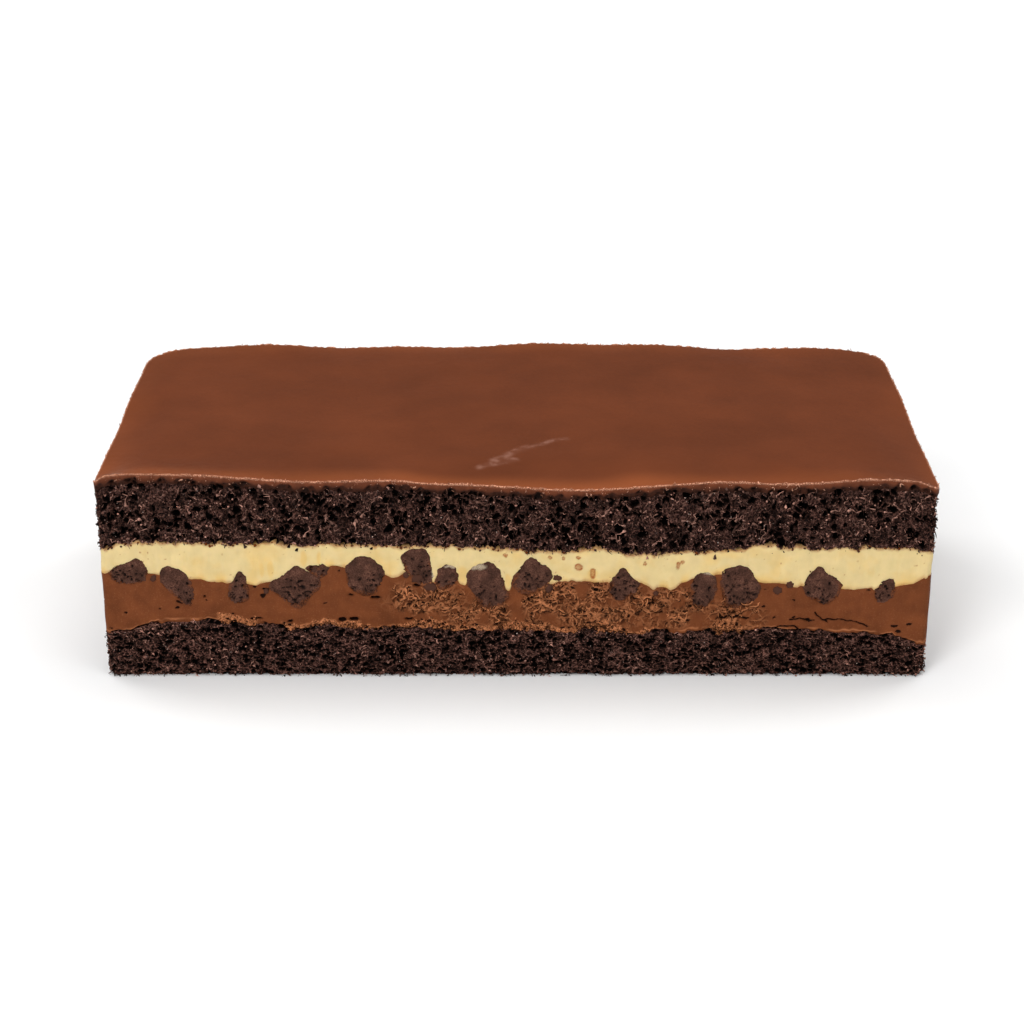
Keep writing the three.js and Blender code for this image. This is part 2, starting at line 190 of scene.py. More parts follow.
class SpongeSettings(bpy.types.PropertyGroup):
    """The torn crumb of the two sponges."""

    front_column: length("Front column", "Width of the mesh's faces along the front cut", 0.3)
    other_column: length("Other column", "Width of the mesh's faces along the other cuts", 0.62)
    rows: count("Rows", "Rows of faces up each sponge", 55)
    pore: length("Pores", "Width of the large pores", 2.3)
    pore_depth: length("Pore depth", "Depth of the deepest pores", 2.3)
    cell: length("Cells", "Width of the small cells between the pores", 1.0)
    cell_depth: length("Cell depth", "Depth of the deepest cells", 0.95)
    net_pore: length("Bottom pores", "Width of the bottom sponge's large pores", 2.3)
    net_cell: length("Bottom cells", "Width of the bottom sponge's small cells", 1.25)
    net_bend: share("Bottom bend", "How much the bottom sponge's cells are bent, against the top one's", 0.4)
    # Painted highlight: the colour of the lit torn edges of the crumb, painted on the strands and, made
    # lighter, on the brightest shreds.
    rim: colour("Rim", "Torn edges of the crumb", 0.205, 0.093, 0.07)
    crumb: colour("Crumb", "The crumb itself", 0.0125, 0.006, 0.005)
    # Painted glint: the pale colour of the small bits that stand in for glints on the moist crumb.
    glint: colour("Glint", "Painted glint bits that catch the light", 0.85, 0.72, 0.64)
    # Painted shade: the near-black colour painted into the bottoms of the pores, on top of the crumb's own
    # darker inside.
    hollow: colour("Hollow", "The bottom of the pores", 0.0022, 0.0012, 0.001)


class MousseSettings(bpy.types.PropertyGroup):
    """The chocolate mousse and the vanilla mousse."""

    front_column: length("Front column", "Width of the mesh's faces along the front cut", 0.3)
    other_column: length("Other column", "Width of the mesh's faces along the other cuts", 0.62)
    mousse_rows: count("Mousse rows", "Rows of faces up the chocolate mousse", 54)
    cream_rows: count("Cream rows", "Rows of faces up the vanilla mousse", 44)
    mousse: colour("Mousse", "Chocolate mousse", 0.156, 0.0445, 0.0145)
    # Partly painted highlight: lighter torn mousse whose brightest parts stand in for light on the torn
    # ridges and rims.
    scraped: colour("Scraped", "Chocolate mousse where the knife scraped it up", 0.55, 0.205, 0.085)
    cream: colour("Cream", "Vanilla mousse", 0.725, 0.562, 0.268)
    deep_cream: colour("Deep cream", "Yellower patches of vanilla mousse", 0.74, 0.47, 0.135)
    stain: colour("Stain", "Crumbs and stains in the vanilla mousse", 0.33, 0.078, 0.006)


class GanacheSettings(bpy.types.PropertyGroup):
    """The set ganache and its cut edge."""

    columns: count("Columns", "Columns of faces along the top", 420)
    rows: count("Rows", "Rows of faces across the top", 120)
    band_rows: count("Band rows", "Rows of faces down the cut edge", 12)
    lip: length("Lip", "Height of the lip that the knife left at the edge", 0.6)
    top: colour("Top", "The top of the ganache", 0.138, 0.0345, 0.011)
    # Painted sheen: the lighter, more orange top near its cut edges.
    near_edge: colour("Near the edge", "The top close to its cut edge", 0.25, 0.066, 0.02)
    scuff: colour("Scuffs", "Pale scuffs on the top", 0.26, 0.115, 0.078)
    # Partly painted highlight: the lip is smeared ganache, and its bright colour also stands in for the light
    # on its rounded edge.
    edge: colour("Lip", "The thin lip along its edge", 1.0, 0.52, 0.34)
    band: colour("Cut edge", "Its cut edge, smeared with sponge", 0.105, 0.0285, 0.0115)


class BrownieSettings(bpy.types.PropertyGroup):
    """The diced brownie."""

    faces: count("Faces", "Faces across each piece", 40)
    flesh: colour("Brownie", "The cut brownie", 0.066, 0.028, 0.0185)
    # Painted shade: the near-black colour painted into its pits.
    pit: colour("Pits", "Its pits", 0.01, 0.005, 0.004)
    smear: colour("Smears", "Cream smeared over it", 0.5, 0.4, 0.28)


class CrumbSettings(bpy.types.PropertyGroup):
    """Loose crumbs, torn shreds and curls on the cut faces."""

    shreds: count("Shreds", "Torn shreds and lumps of crumb on the top sponge", 7800)
    fine_shreds: count("Fine shreds", "Torn shreds and lumps of crumb on the bottom sponge", 3600)
    lines: count("Torn lines", "Torn lines of scraped mousse", 560)
    curls: count("Curls", "Curls of scraped mousse", 900)
    flakes: count("Flakes", "Flakes along the foot of the mousse", 4200)
    crumbs: count("Crumbs", "Loose sponge crumbs on the two mousses", 900)
    flecks: count("Flecks", "Flecks of ganache along its lip", 900)
    # Painted glints: pale bits that stand in for glints on the moist crumb.
    glints: count("Glints", "Painted glint bits in the sponges", 2600)


class StageSettings(bpy.types.PropertyGroup):
    """The floor, lights and camera."""

    camera_distance: length("Distance", "From the front cut's plane through the middle to the camera", 670.2)
    camera_height: length("Height", "Camera above the floor", 313)
    camera_aside: length("Aside", "Camera to the left of the middle", 1.4)
    camera_down: FloatProperty(
        name="Down", description="How far the camera looks down", default=math.radians(23), subtype="ANGLE"
    )
    lens: FloatProperty(name="Lens", description="Focal length in millimetres", default=77.2, min=1)
    floor: colour("Floor", "The pale floor", 0.93, 0.93, 0.93)


class CakeSettings(bpy.types.PropertyGroup):
    """All of the cake's settings."""

    sponge: PointerProperty(type=SpongeSettings)
    mousse: PointerProperty(type=MousseSettings)
    ganache: PointerProperty(type=GanacheSettings)
    brownie: PointerProperty(type=BrownieSettings)
    crumbs: PointerProperty(type=CrumbSettings)
    stage: PointerProperty(type=StageSettings)


# ---- Noise ---------------------------------------------------------------------------------------


def hashed(cells, seed):
    """A number from 0 to 1 for each cell of a lattice, the same each time."""
    mixed = np.sin(cells @ np.array((127.1, 311.7, 74.7)) + seed * 53.31) * 43758.5453
    return mixed - np.floor(mixed)


def eased(values, low, high):
    """0 below low, 1 above high, and a smooth rise between them."""
    rise = np.clip((values - low) / (high - low), 0, 1)
    return rise * rise * (3 - 2 * rise)


def noise(points, size, seed=0):
    """Smooth noise from -1 to 1, with features of about the given size."""
    scaled = points / size
    home = np.floor(scaled)
    ease = eased(scaled - home, 0, 1)
    total = 0.0
    for step in product((0, 1), repeat=3):
        weight = np.prod(np.where(step, ease, 1 - ease), axis=-1)
        total = total + weight * hashed(home + step, seed)
    return 2 * total - 1


def rough(points, size, seed=0, octaves=3):
    """Noise with finer noise on it."""
    return sum(noise(points, size / 2**i, seed + i) / 2**i for i in range(octaves))


def curled(points, size, strength, seed):
    """Points pushed about by noise, so that what is drawn over them bends and curls."""
    push = np.stack([noise(points, size, seed + axis) for axis in range(3)], axis=-1)
    return points + strength * push


def cells(points, size, seed):
    """A foam of cells: how far each point is from the nearest wall, and its cell's number, 0 to 1."""
    scaled = points / size
    home = np.floor(scaled)
    nearest = np.full(points.shape[:-1], np.inf)
    second = nearest.copy()
    number = np.zeros_like(nearest)
    for step in product((-1, 0, 1), repeat=3):
        lattice = home + step
        middle = lattice + np.stack([hashed(lattice, seed + axis) for axis in range(3)], axis=-1)
        distance = np.linalg.norm(middle - scaled, axis=-1)
        closer = distance < nearest
        second = np.where(closer, nearest, np.minimum(second, distance))
        number = np.where(closer, hashed(lattice, seed + 3), number)
        nearest = np.where(closer, distance, nearest)
    return (second - nearest) * size, number


# ---- Places on the plan and levels of the solids -------------------------------------------------


def corner_radius(y):
    """Radius of the plan's corners, which are sharper at the front."""
    return np.where(y < 0, FRONT_CORNER, BACK_CORNER)


def bowed(x, y):
    """By what share the back's curve draws a place forward."""
    return np.where(y > 0, 1 - BACK_BOW / HALF[1] * (x / HALF[0]) ** 2, 1)


def rounded(square):
    """Places on the bar's plan for places on the plain rectangle round it."""
    straight = HALF - corner_radius(square[..., 1])[..., None]
    beyond = np.maximum(np.abs(square) - straight, 0)
    reach = np.maximum(np.linalg.norm(beyond, axis=-1, keepdims=True), 1e-12)
    pull = beyond.max(axis=-1, keepdims=True) / reach
    places = np.sign(square) * (np.minimum(np.abs(square), straight) + beyond * pull)
    places[..., 1] *= bowed(places[..., 0], places[..., 1])
    return places


def unbowed(places):
    """Places as they would be with a straight back."""
    flat = places.copy()
    flat[..., 1] /= bowed(places[..., 0], places[..., 1])
    return flat


def beyond_straights(places):
    """From the rectangle between the centres of the rounded corners to places, and the radius."""
    flat = unbowed(places)
    radius = corner_radius(flat[..., 1])
    return np.maximum(np.abs(flat) - (HALF - radius[..., None]), 0) * np.sign(flat), radius


def outward(places):
    """Which way the nearest cut face looks, at places near the cut faces."""
    beyond, _ = beyond_straights(places)
    return beyond / np.maximum(np.linalg.norm(beyond, axis=-1, keepdims=True), 1e-12)


def depth_in(places):
    """How far in from the cut faces places lie."""
    beyond, radius = beyond_straights(places)
    within = (HALF - radius[..., None] - np.abs(unbowed(places))).min(axis=-1)
    return radius - np.linalg.norm(beyond, axis=-1) + np.maximum(within, 0)


def round_the_cake(front_step, other_step):
    """Places round the cut faces, anticlockwise from the back left corner."""
    corners = np.array([(-1, 1), (-1, -1), (1, -1), (1, 1), (-1, 1)]) * HALF
    steps = (other_step, front_step, other_step, other_step)
    sides = []
    for start, end, step in zip(corners, corners[1:], steps):
        columns = round(np.linalg.norm(end - start) / step)
        sides.append(start + (end - start) * np.arange(columns)[:, None] / columns)
    return rounded(np.concatenate(sides))


def solid_tree(node):
    """A CAD solid, ready to be probed by rays."""
    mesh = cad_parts[node].data
    faces = [face.vertices[:] for face in mesh.polygons]
    return BVHTree.FromPolygons([vert.co for vert in mesh.vertices], faces)


def levels(node, places, upper):
    """Levels of a solid's upper or lower side over places, and NaN where there is none of it."""
    tree = solid_tree(node)
    start, way = (SKY, -1) if upper else (-SKY, 1)
    ray = Vector((0, 0, way))
    hits = [tree.ray_cast(Vector((x, y, start)), ray)[0] for x, y in places]
    return np.array([np.nan if hit is None else hit.z for hit in hits])


def core_level(node, upper):
    """Level of a solid's upper or lower side over the middle of the cake."""
    return levels(node, np.zeros((1, 2)), upper)[0]


def drawn_in(places, inset):
    """Places drawn in from the cut faces, further at the corners, which the solids cut short."""
    out = outward(places)
    corner = np.abs(out[..., :1] * out[..., 1:]) * 2
    return places - (inset + CORNER_INSET * corner) * out


def seam(below, above, places):
    """Level of the seam between two layers at places on the cut faces.

    Where a brownie's pocket opens the seam, it runs straight on across the pocket."""
    inside = drawn_in(places, PROBE_INSET)
    low = levels(below, inside, upper=True)
    high = levels(above, inside, upper=False)
    shut = high - low < POCKET_GAP
    index = np.arange(len(places))
    return np.interp(index, index[shut], (low + high)[shut] / 2, period=len(places))


def with_level(places, level=0.0):
    """Places with a level, as points."""
    return np.concatenate([places, np.full(places.shape[:-1] + (1,), level)], axis=-1)


def grounded(points):
    """Points without their levels, for noise that runs straight up the cut faces."""
    return points * (1, 1, 0)


def on_front(places):
    """Whether places lie on the front cut, clear of its rounded corners."""
    return outward(places)[..., 1] < -FRONT_FACING


def crumbled(places):
    """1 where the mousse's foot is crumbled, on the front as shown and elsewhere in like stretches."""
    across = places[..., 0] / MM
    shown = [eased(np.minimum(across - start, end - across), -1, 1.5) for start, end in MOUSSE_FLAKES]
    elsewhere = eased(noise(with_level(places), 30 * MM, 95), 0, 0.3)
    return np.where(on_front(places), np.max(shown, axis=0), elsewhere)


def base_seam(places):
    """Top of the bottom sponge."""
    ground = with_level(places)
    ragged = 0.45 * MM * noise(ground, 3.6 * MM, 21) + 0.3 * MM * noise(ground, 1.1 * MM, 22)
    sunk = crumbled(places) * (0.9 + 0.7 * noise(ground, 4.5 * MM, 23)) * MM
    return seam("sponge_bottom", "chocolate_mousse", places) + ragged - sunk


def cream_foot(places):
    """Lower side of the vanilla mousse, which hangs down in tongues."""
    ground = with_level(places)
    level = seam("chocolate_mousse", "vanilla_mousse", places)
    level += 0.4 * MM * noise(ground, 4.2 * MM, 31) + 0.22 * MM * noise(ground, 1.3 * MM, 32)
    drips = np.maximum(noise(ground, 2.6 * MM, 33) - 0.45, 0) * 2.4 * MM
    for place, half_width, drop in CREAM_TONGUES:
        apart = np.abs(places[:, 0] - place * MM) / (half_width * MM)
        level -= np.where(on_front(places), drop * MM * (1 - eased(apart, 0.3, 1.2)), 0)
    return level - drips


def cream_top(places):
    """Lower side of the top sponge, which is torn into the cream."""
    ground = with_level(places)
    ragged = 0.65 * MM * noise(ground, 2.8 * MM, 41) + 0.5 * MM * noise(ground, 1.1 * MM, 42)
    return seam("vanilla_mousse", "sponge_top", places) + ragged


def band_foot(places):
    """Lower side of the ganache's cut edge."""
    ground = with_level(places)
    ragged = 0.5 * MM * noise(ground, 4 * MM, 51) + 0.5 * MM * noise(ground, 1.3 * MM, 52)
    return seam("sponge_top", "ganache", places) + ragged


# ---- Brownie faces -------------------------------------------------------------------------------


class BrownieFace:
    """The face that a brownie solid shows at its side of the bar, measured from the frame."""

    FLUSH = 0.45 * MM  # corners of the solid closer than this to the cut face lie on it
    STEPS_PER_EDGE = 24
    CORNER_EASE = 0.12  # radians over which the outline's corners are eased
    SAME_SIDE = 0.6  # a place whose way out agrees with the face's by more than this is beside it

    def __init__(self, node):
        self.node = node
        self.side = node.split("_")[1]
        self.along, self.out = (np.array(way, dtype=float) for way in SIDES[self.side])
        corners = np.array([vert.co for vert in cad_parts[node].data.vertices])
        depths = depth_in(corners[:, :2])
        self.depth = depths.max()
        flush = corners[depths < self.FLUSH]
        outline = np.stack([flush[:, :2] @ self.along, flush[:, 2]], axis=-1)
        self.centre = (outline.min(axis=0) + outline.max(axis=0)) / 2
        self.angles, self.radii = self.measured(outline - self.centre)
        self.seed = int(node[-2:]) + 100 * list(SIDES).index(self.side)

    def measured(self, corners):
        """The outline between its corners, as angles and radii."""
        corners = corners[np.argsort(np.arctan2(corners[:, 1], corners[:, 0]))]
        shares = np.linspace(0, 1, self.STEPS_PER_EDGE, endpoint=False)[:, None, None]
        line = (corners * (1 - shares) + np.roll(corners, -1, axis=0) * shares).reshape(-1, 2)
        angles = np.arctan2(line[:, 1], line[:, 0])
        order = np.argsort(angles)
        return angles[order], np.linalg.norm(line, axis=1)[order]

    def radius(self, angle):
        """Distance to the outline, its corners eased, in a direction."""
        turns = np.linspace(-self.CORNER_EASE, self.CORNER_EASE, 5)
        around = [np.interp(angle + turn, self.angles, self.radii, period=2 * math.pi) for turn in turns]
        return sum(around) / 5

    def inside(self, places, level):
        """How far in from this outline points of the cut faces lie, in metres."""
        across = places @ self.along - self.centre[0]
        up = level - self.centre[1]
        edge = self.radius(np.arctan2(up, across)) - np.hypot(across, up)
        return np.where(outward(places) @ self.out > self.SAME_SIDE, edge, -1)

    def place(self, across, depth):
        """Places at distances along this side and depths in from it."""
        along = self.centre[0] + across
        flat = along[..., None] * self.along + (HALF @ np.abs(self.out)) * self.out
        radius = corner_radius(flat[..., 1])
        past = np.maximum(np.abs(along) - (HALF @ np.abs(self.along) - radius), 0)
        sink = radius - np.sqrt(np.maximum(radius**2 - past**2, 0))
        flat = flat - (sink + depth)[..., None] * self.out
        flat[..., 1] *= bowed(flat[..., 0], flat[..., 1])
        return flat


BROWNIES = [BrownieFace(node) for node in sorted(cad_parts) if node.startswith("brownie")]
POCKET_RIM = 0.35 * MM  # how far inside a piece's outline its pocket starts
POCKET_FLOOR = 2.6 * POCKET_RIM  # how far inside it the pocket is at its full depth
POCKET_DEPTH = 2.6 * MM


def pockets(places, level):
    """How far the cut faces are sunk to make room for the brownie pieces."""
    edge = np.max([face.inside(places, level) for face in BROWNIES], axis=0)
    return POCKET_DEPTH * eased(edge, POCKET_RIM, POCKET_FLOOR)


# ---- Relief of the cut faces ---------------------------------------------------------------------

# Each relief takes points on the cut faces and gives their depth and the masks that its material
# reads.


# A sponge's crumb: its large pores, its small cells, how bent their walls are and how much flatter
# than wide they are.
Crumb = namedtuple("Crumb", "pore pore_depth cell cell_depth bend flat")


def top_crumb(settings):
    """Crumb of the top sponge: uneven, with bent walls."""
    return Crumb(settings.pore, settings.pore_depth, settings.cell, settings.cell_depth, 1.0, 1.0)


def bottom_crumb(settings):
    """Crumb of the bottom sponge: a net of cells that its load has flattened."""
    depths = 0.7 * settings.pore_depth, 0.95 * settings.cell_depth
    return Crumb(settings.net_pore, depths[0], settings.net_cell, depths[1], settings.net_bend, 1.7)


def sponge_relief(points, crumb, crushed_from=None):
    """Torn crumb: large pores and small cells with thin walls between them."""
    bent = curled(points, 1.9 * MM, 0.75 * MM * crumb.bend, 61) * (1, 1, crumb.flat)
    bent = curled(bent, 0.8 * MM, 0.3 * MM * crumb.bend, 65)
    gap, number = cells(bent, crumb.pore, 71)
    pores = eased(number, 0.35, 0.75) * eased(gap, 0.1 * MM, 0.7 * MM) * crumb.pore_depth
    gap, number = cells(bent, crumb.cell, 75)
    small = (0.35 + 0.65 * number) * eased(gap, 0.02 * MM, 0.3 * MM) * crumb.cell_depth
    lumps = 0.3 * MM * noise(points, 6 * MM, 79)
    torn = 0.22 * MM * rough(points, 0.9 * MM, 81)
    depth = 0.45 * MM + lumps + torn + np.maximum(pores, small) + 0.35 * np.minimum(pores, small)
    # The hollow mask darkens the pores in the material: painted shade, on top of the crumb's own darker
    # inside.
    hollow = 1.4 * np.maximum(pores, small) / crumb.pore_depth + 0.9 * np.maximum(torn, 0) / MM
    if crushed_from is not None:
        crushed = 1 - 0.4 * eased(points[..., 2] - crushed_from, -2.2 * MM, -0.4 * MM)
        depth = 0.45 * MM + (depth - 0.45 * MM) * crushed
        hollow = 0.3 + (hollow - 0.3) * crushed
    return np.maximum(depth, 0.02 * MM), {"hollow": np.clip(hollow, 0, 1)}


def near_patches(points, patches):
    """1 in the middle of patches of the front cut, 0 outside them."""
    mask = np.zeros(points.shape[:-1])
    for place, level, half_width, half_height in patches:
        across = (points[..., 0] / MM - place) / half_width
        up = (points[..., 2] / MM - level) / half_height
        mask = np.maximum(mask, 1 - eased(np.hypot(across, up), 0.55, 1.15))
    return np.where(on_front(points[..., :2]), mask, 0)


def near_line(points, line, width):
    """1 on a line over the front cut, 0 further from it than its width."""
    across = points[..., 0] / MM
    up = points[..., 2] / MM
    apart = np.full(across.shape, np.inf)
    for (from_x, from_z), (to_x, to_z) in zip(line, line[1:]):
        run = np.array((to_x - from_x, to_z - from_z))
        past_x, past_z = across - from_x, up - from_z
        along = np.clip((past_x * run[0] + past_z * run[1]) / (run @ run), 0, 1)
        apart = np.minimum(apart, np.hypot(past_x - along * run[0], past_z - along * run[1]))
    return np.where(on_front(points[..., :2]), 1 - eased(apart, 0.3 * width, width), 0)


def scraped_parts(points):
    """1 where the knife scraped the mousse up, on the front as shown and elsewhere in like patches."""
    elsewhere = eased(noise(points, 26 * MM, 91) - (points[..., 2] / MM - 22) / 14, 0.15, 0.6)
    mask = np.where(on_front(points[..., :2]), near_patches(points, MOUSSE_SCRAPES), elsewhere)
    return mask * eased(noise(points, 5 * MM, 92), -0.75, 0.25)


def flaked_parts(points, foot):
    """1 in the flakes along the mousse's foot."""
    reach = (2.3 + 1.5 * noise(grounded(points), 5 * MM, 96) + 0.7 * noise(points, 1.2 * MM, 97)) * MM
    above = eased(points[..., 2] - foot, reach - 0.3 * MM, reach + 0.3 * MM)
    return crumbled(points[..., :2]) * (1 - above)


def mousse_relief(points, foot):
    """Smooth mousse with drag marks, pinholes, cracks and scraped parts, torn off along its foot."""
    scraped = scraped_parts(points)
    flaked = flaked_parts(points, foot)
    bent = curled(curled(points, 3.4 * MM, 2.2 * MM, 101), 1.1 * MM, 0.35 * MM, 104)
    gap, number = cells(bent, 2.9 * MM, 105)
    broken = eased(noise(points, 2.1 * MM, 106), -0.4, 0.1)
    ridge = (1 - eased(gap, 0.16 * MM, 0.42 * MM)) * broken
    torn = eased(gap, 0.25 * MM, 0.45 * MM) * (1 - eased(gap, 0.6 * MM, 0.95 * MM)) * (number > 0.45) * broken
    gap, number = cells(curled(points, 1.2 * MM, 0.4 * MM, 108), 1.3 * MM, 109)
    bubbles = (number > 0.7) * eased(gap, 0.3 * MM, 0.6 * MM)
    rim = (number > 0.7) * eased(gap, 0.02 * MM, 0.12 * MM) * (1 - eased(gap, 0.2 * MM, 0.4 * MM))
    web = scraped * (0.9 * torn - 0.45 * ridge + 0.6 * bubbles) * MM
    web += scraped * 0.12 * MM * rough(points, 0.8 * MM, 107)
    gap, number = cells(curled(points, 1.4 * MM, 0.6 * MM, 98) * (0.7, 0.7, 1.3), 1.5 * MM, 99)
    gaps = flaked * (number > 0.68) * eased(gap, 0.15 * MM, 0.45 * MM)
    web += flaked * 0.3 * MM * (rough(points, 0.9 * MM, 94) - 0.6) + gaps * 1.0 * MM
    dragged = points * np.array((1, 1, 0.22))
    drag = 0.09 * MM * noise(dragged, 0.9 * MM, 111) + 0.14 * MM * noise(points, 5 * MM, 112)
    gap, number = cells(curled(points, 2.0 * MM, 0.5 * MM, 113) * (0.7, 0.7, 1.5), 2.6 * MM, 115)
    pinholes = (number > 0.62) * eased(gap, 1.45 * MM, 1.75 * MM)
    bent = curled(points, 1.3 * MM, 0.45 * MM, 117)
    cracks = np.max([near_line(bent, line, 0.36) for line in MOUSSE_CRACKS], axis=0)
    patches = [(x, z, width / 2, height / 2) for x, z, width, height in MOUSSE_HOLES]
    holes = near_patches(curled(points, 1.5 * MM, 0.5 * MM, 121), patches)
    ground = grounded(points)
    height = points[..., 2] - foot
    reach = 0.5 * MM + 0.35 * MM * noise(ground, 2.3 * MM, 123)
    undercut = eased(noise(ground, 5.5 * MM, 124) + 0.5 * noise(ground, 1.7 * MM, 125), -0.15, 0.3)
    undercut = undercut * (1 - eased(height, reach, reach + 0.35 * MM))
    edge = eased(height, reach, reach + 0.3 * MM) * (1 - eased(height, reach + 0.4 * MM, reach + 1 * MM))
    depth = 0.5 * MM + web + drag + (0.6 * pinholes + 0.9 * cracks + 1.6 * holes + 1.5 * undercut) * MM
    # Painted shade: the dark mask blackens cracks, holes, pinholes, gaps, the undercut and the shaded scraped
    # cells. Painted highlight: the lit mask lightens ridges, bubble rims and the edge just above the foot.
    shaded = scraped * np.maximum(0.7 * torn, bubbles)
    dark = np.max([cracks, holes, undercut, pinholes, gaps, shaded], axis=0)
    light = np.maximum(0.6 * scraped * np.maximum(ridge, rim), 0.55 * edge * broken)
    masks = {"scraped": scraped, "flaked": flaked, "lit": light, "dark": dark}
    return depth, {name: np.clip(mask, 0, 1) for name, mask in masks.items()}


def cream_relief(points, foot, top):
    """Soft cream with drag marks, stains, and crumbs dragged in at its two edges."""
    dragged = points * np.array((1, 1, 0.2))
    drag = 0.09 * MM * noise(dragged, 0.8 * MM, 131) + 0.18 * MM * noise(points, 4.5 * MM, 132)
    depth = 0.5 * MM + drag
    lip = 1 - eased(points[..., 2] - foot, -0.3 * MM, 1.2 * MM + 0.8 * MM * noise(points, 2.1 * MM, 133))
    under = 1 - eased(top - points[..., 2], 0.0 * MM, 1.0 * MM + 0.7 * MM * noise(points, 1.3 * MM, 134))
    flecks = eased(noise(points, 0.75 * MM, 135), 0.74, 0.88)
    spots = near_patches(curled(points, 0.8 * MM, 0.35 * MM, 137), CREAM_STAINS)
    spots = 4 * spots * (1 - spots) + 0.45 * spots
    stain = np.clip(0.8 * lip + 0.7 * under + 0.8 * flecks + 1.6 * spots, 0, 1)
    reach = (3.2 + 2.4 * noise(grounded(points), 4 * MM, 138)) * MM
    deep = 1 - eased(points[..., 2] - foot, 0, reach)
    deep = deep * eased(noise(points * (1, 1, 0.3), 3 * MM, 139), -0.3, 0.6)
    streaks = near_patches(curled(points, 1.5 * MM, 0.3 * MM, 140), CREAM_STREAKS)
    masks = {"stain": stain, "deep": np.maximum(0.8 * deep, 0.65 * streaks)}
    return depth + 0.3 * MM * np.minimum(spots, 1), masks


# ---- Mesh building -------------------------------------------------------------------------------


def mask_layers(bm, names):
    """Layers for the masks that a piece's material reads."""
    return {name: bm.verts.layers.float.new(name) for name in names}


def wrapped_wall(points, masks, node):
    """A layer: its cut face all the way round, closed over its underside and its top.

    The points are rows of columns, anticlockwise from the lowest row up, and the node is the solid
    whose core gives its levels."""
    rows, columns = points.shape[0] - 1, points.shape[1]
    bm = bmesh.new()
    bmesh.ops.create_grid(bm, x_segments=columns, y_segments=rows, size=0.5)
    layers = mask_layers(bm, masks)
    first, last = {}, {}
    rims = {0: [], rows: []}
    for vert in bm.verts:
        column = round((vert.co.x + 0.5) * columns)
        row = round((vert.co.y + 0.5) * rows)
        if column == columns:
            last[row] = vert
        elif column == 0:
            first[row] = vert
        if row in rims and column < columns:
            rims[row].append(vert)
        column %= columns
        vert.co = points[row, column]
        for name, layer in layers.items():
            vert[layer] = masks[name][row, column]
    bmesh.ops.weld_verts(bm, targetmap={last[row]: first[row] for row in last})
    for row, rim in rims.items():
        close_level(bm, rim, core_level(node, upper=row == rows))
    bmesh.ops.recalc_face_normals(bm, faces=bm.faces)
    return bm


def rim_edges(verts):
    """Boundary edges at verts."""
    return list({edge for vert in verts for edge in vert.link_edges if edge.is_boundary})


def drawn_out(bm, edges):
    """Extrudes boundary edges and gives the new verts and the new boundary edges."""
    made = bmesh.ops.extrude_edge_only(bm, edges=edges)["geom"]
    verts = [item for item in made if isinstance(item, bmesh.types.BMVert)]
    return verts, rim_edges(verts)


def close_level(bm, rim, level):
    """Closes a rim over the level core inside it."""
    verts, edges = drawn_out(bm, rim_edges(rim))
    inner = 1 - CORE_INSET / HALF
    for vert in verts:
        vert.co = (vert.co.x * inner[0], vert.co.y * inner[1], level)
    verts, _ = drawn_out(bm, edges)
    bmesh.ops.pointmerge(bm, verts=verts, merge_co=(0, 0, level))


def finished(bm, name, material, slot, *nodes):
    """Turns a bmesh into a piece of the cake that stands for the given solids."""
    mesh = bpy.data.meshes.new(name)
    bm.to_mesh(mesh)
    bm.free()
    return placed(mesh, name, material, slot, *nodes)


def placed(mesh, name, material, slot, *nodes):
    """Puts a mesh into the cake as a piece."""
    mesh.shade_smooth()
    mesh.materials.append(material)
    piece = bpy.data.objects.new(name, mesh)
    bpy.context.scene.collection.objects.link(piece)
    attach(piece, BODY)
    if nodes:
        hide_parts(*nodes)
    return piece


def wall_rows(places, low, high, rows):
    """Points up the cut faces, from a little below the lower seam to a little above the upper one."""
    shares = np.linspace(0, 1, rows + 1)[:, None]
    level = (low - OVERLAP) * (1 - shares) + (high + OVERLAP) * shares
    return np.concatenate([np.broadcast_to(places, level.shape + (2,)), level[..., None]], axis=-1)


def tucked(points, low, high):
    """How far a layer's cut face turns in where it runs on past its seams."""
    level = points[..., 2]
    return 0.8 * MM * (eased(low - level, 0, OVERLAP) + eased(level - high, 0, OVERLAP))


def moved_in(points, depth):
    """Points moved straight in from the cut faces."""
    moved = points.copy()
    moved[..., :2] -= depth[..., None] * outward(points[..., :2])
    return moved


def moved_out(places):
    """Places moved straight out to the cut faces."""
    return places + depth_in(places)[:, None] * outward(places)


# ---- Material nodes ------------------------------------------------------------------------------


def add(tree, kind, inputs=None, **settings):
    """Adds a node, with its settings, and its inputs set or linked."""
    node = tree.nodes.new(kind)
    for name, value in settings.items():
        setattr(node, name, value)
    for name, value in (inputs or {}).items():
        if isinstance(value, bpy.types.NodeSocket):
            tree.links.new(value, node.inputs[name])
        else:
            node.inputs[name].default_value = value
    return node


def mixed(tree, factor, first, second):
    """A colour between two colours."""
    node = add(tree, "ShaderNodeMix", data_type="RGBA", inputs={0: factor, 6: first, 7: second})
    return node.outputs[2]


def blended(tree, factor, first, second):
    """A number between two numbers."""
    node = add(tree, "ShaderNodeMix", data_type="FLOAT", inputs={0: factor, 2: first, 3: second})
    return node.outputs[0]


def worked(tree, operation, *values):
    """The result of a sum on numbers or sockets."""
    node = tree.nodes.new("ShaderNodeMath")
    node.operation = operation
    for i, value in enumerate(values):
        if isinstance(value, bpy.types.NodeSocket):
            tree.links.new(value, node.inputs[i])
        else:
            node.inputs[i].default_value = value
    return node.outputs[0]


def remapped(tree, value, from_low, from_high, to_low, to_high):
    """A value carried from one range to another, and held within it."""
    inputs = {"Value": value, 1: from_low, 2: from_high, 3: to_low, 4: to_high}
    return add(tree, "ShaderNodeMapRange", inputs=inputs).outputs[0]


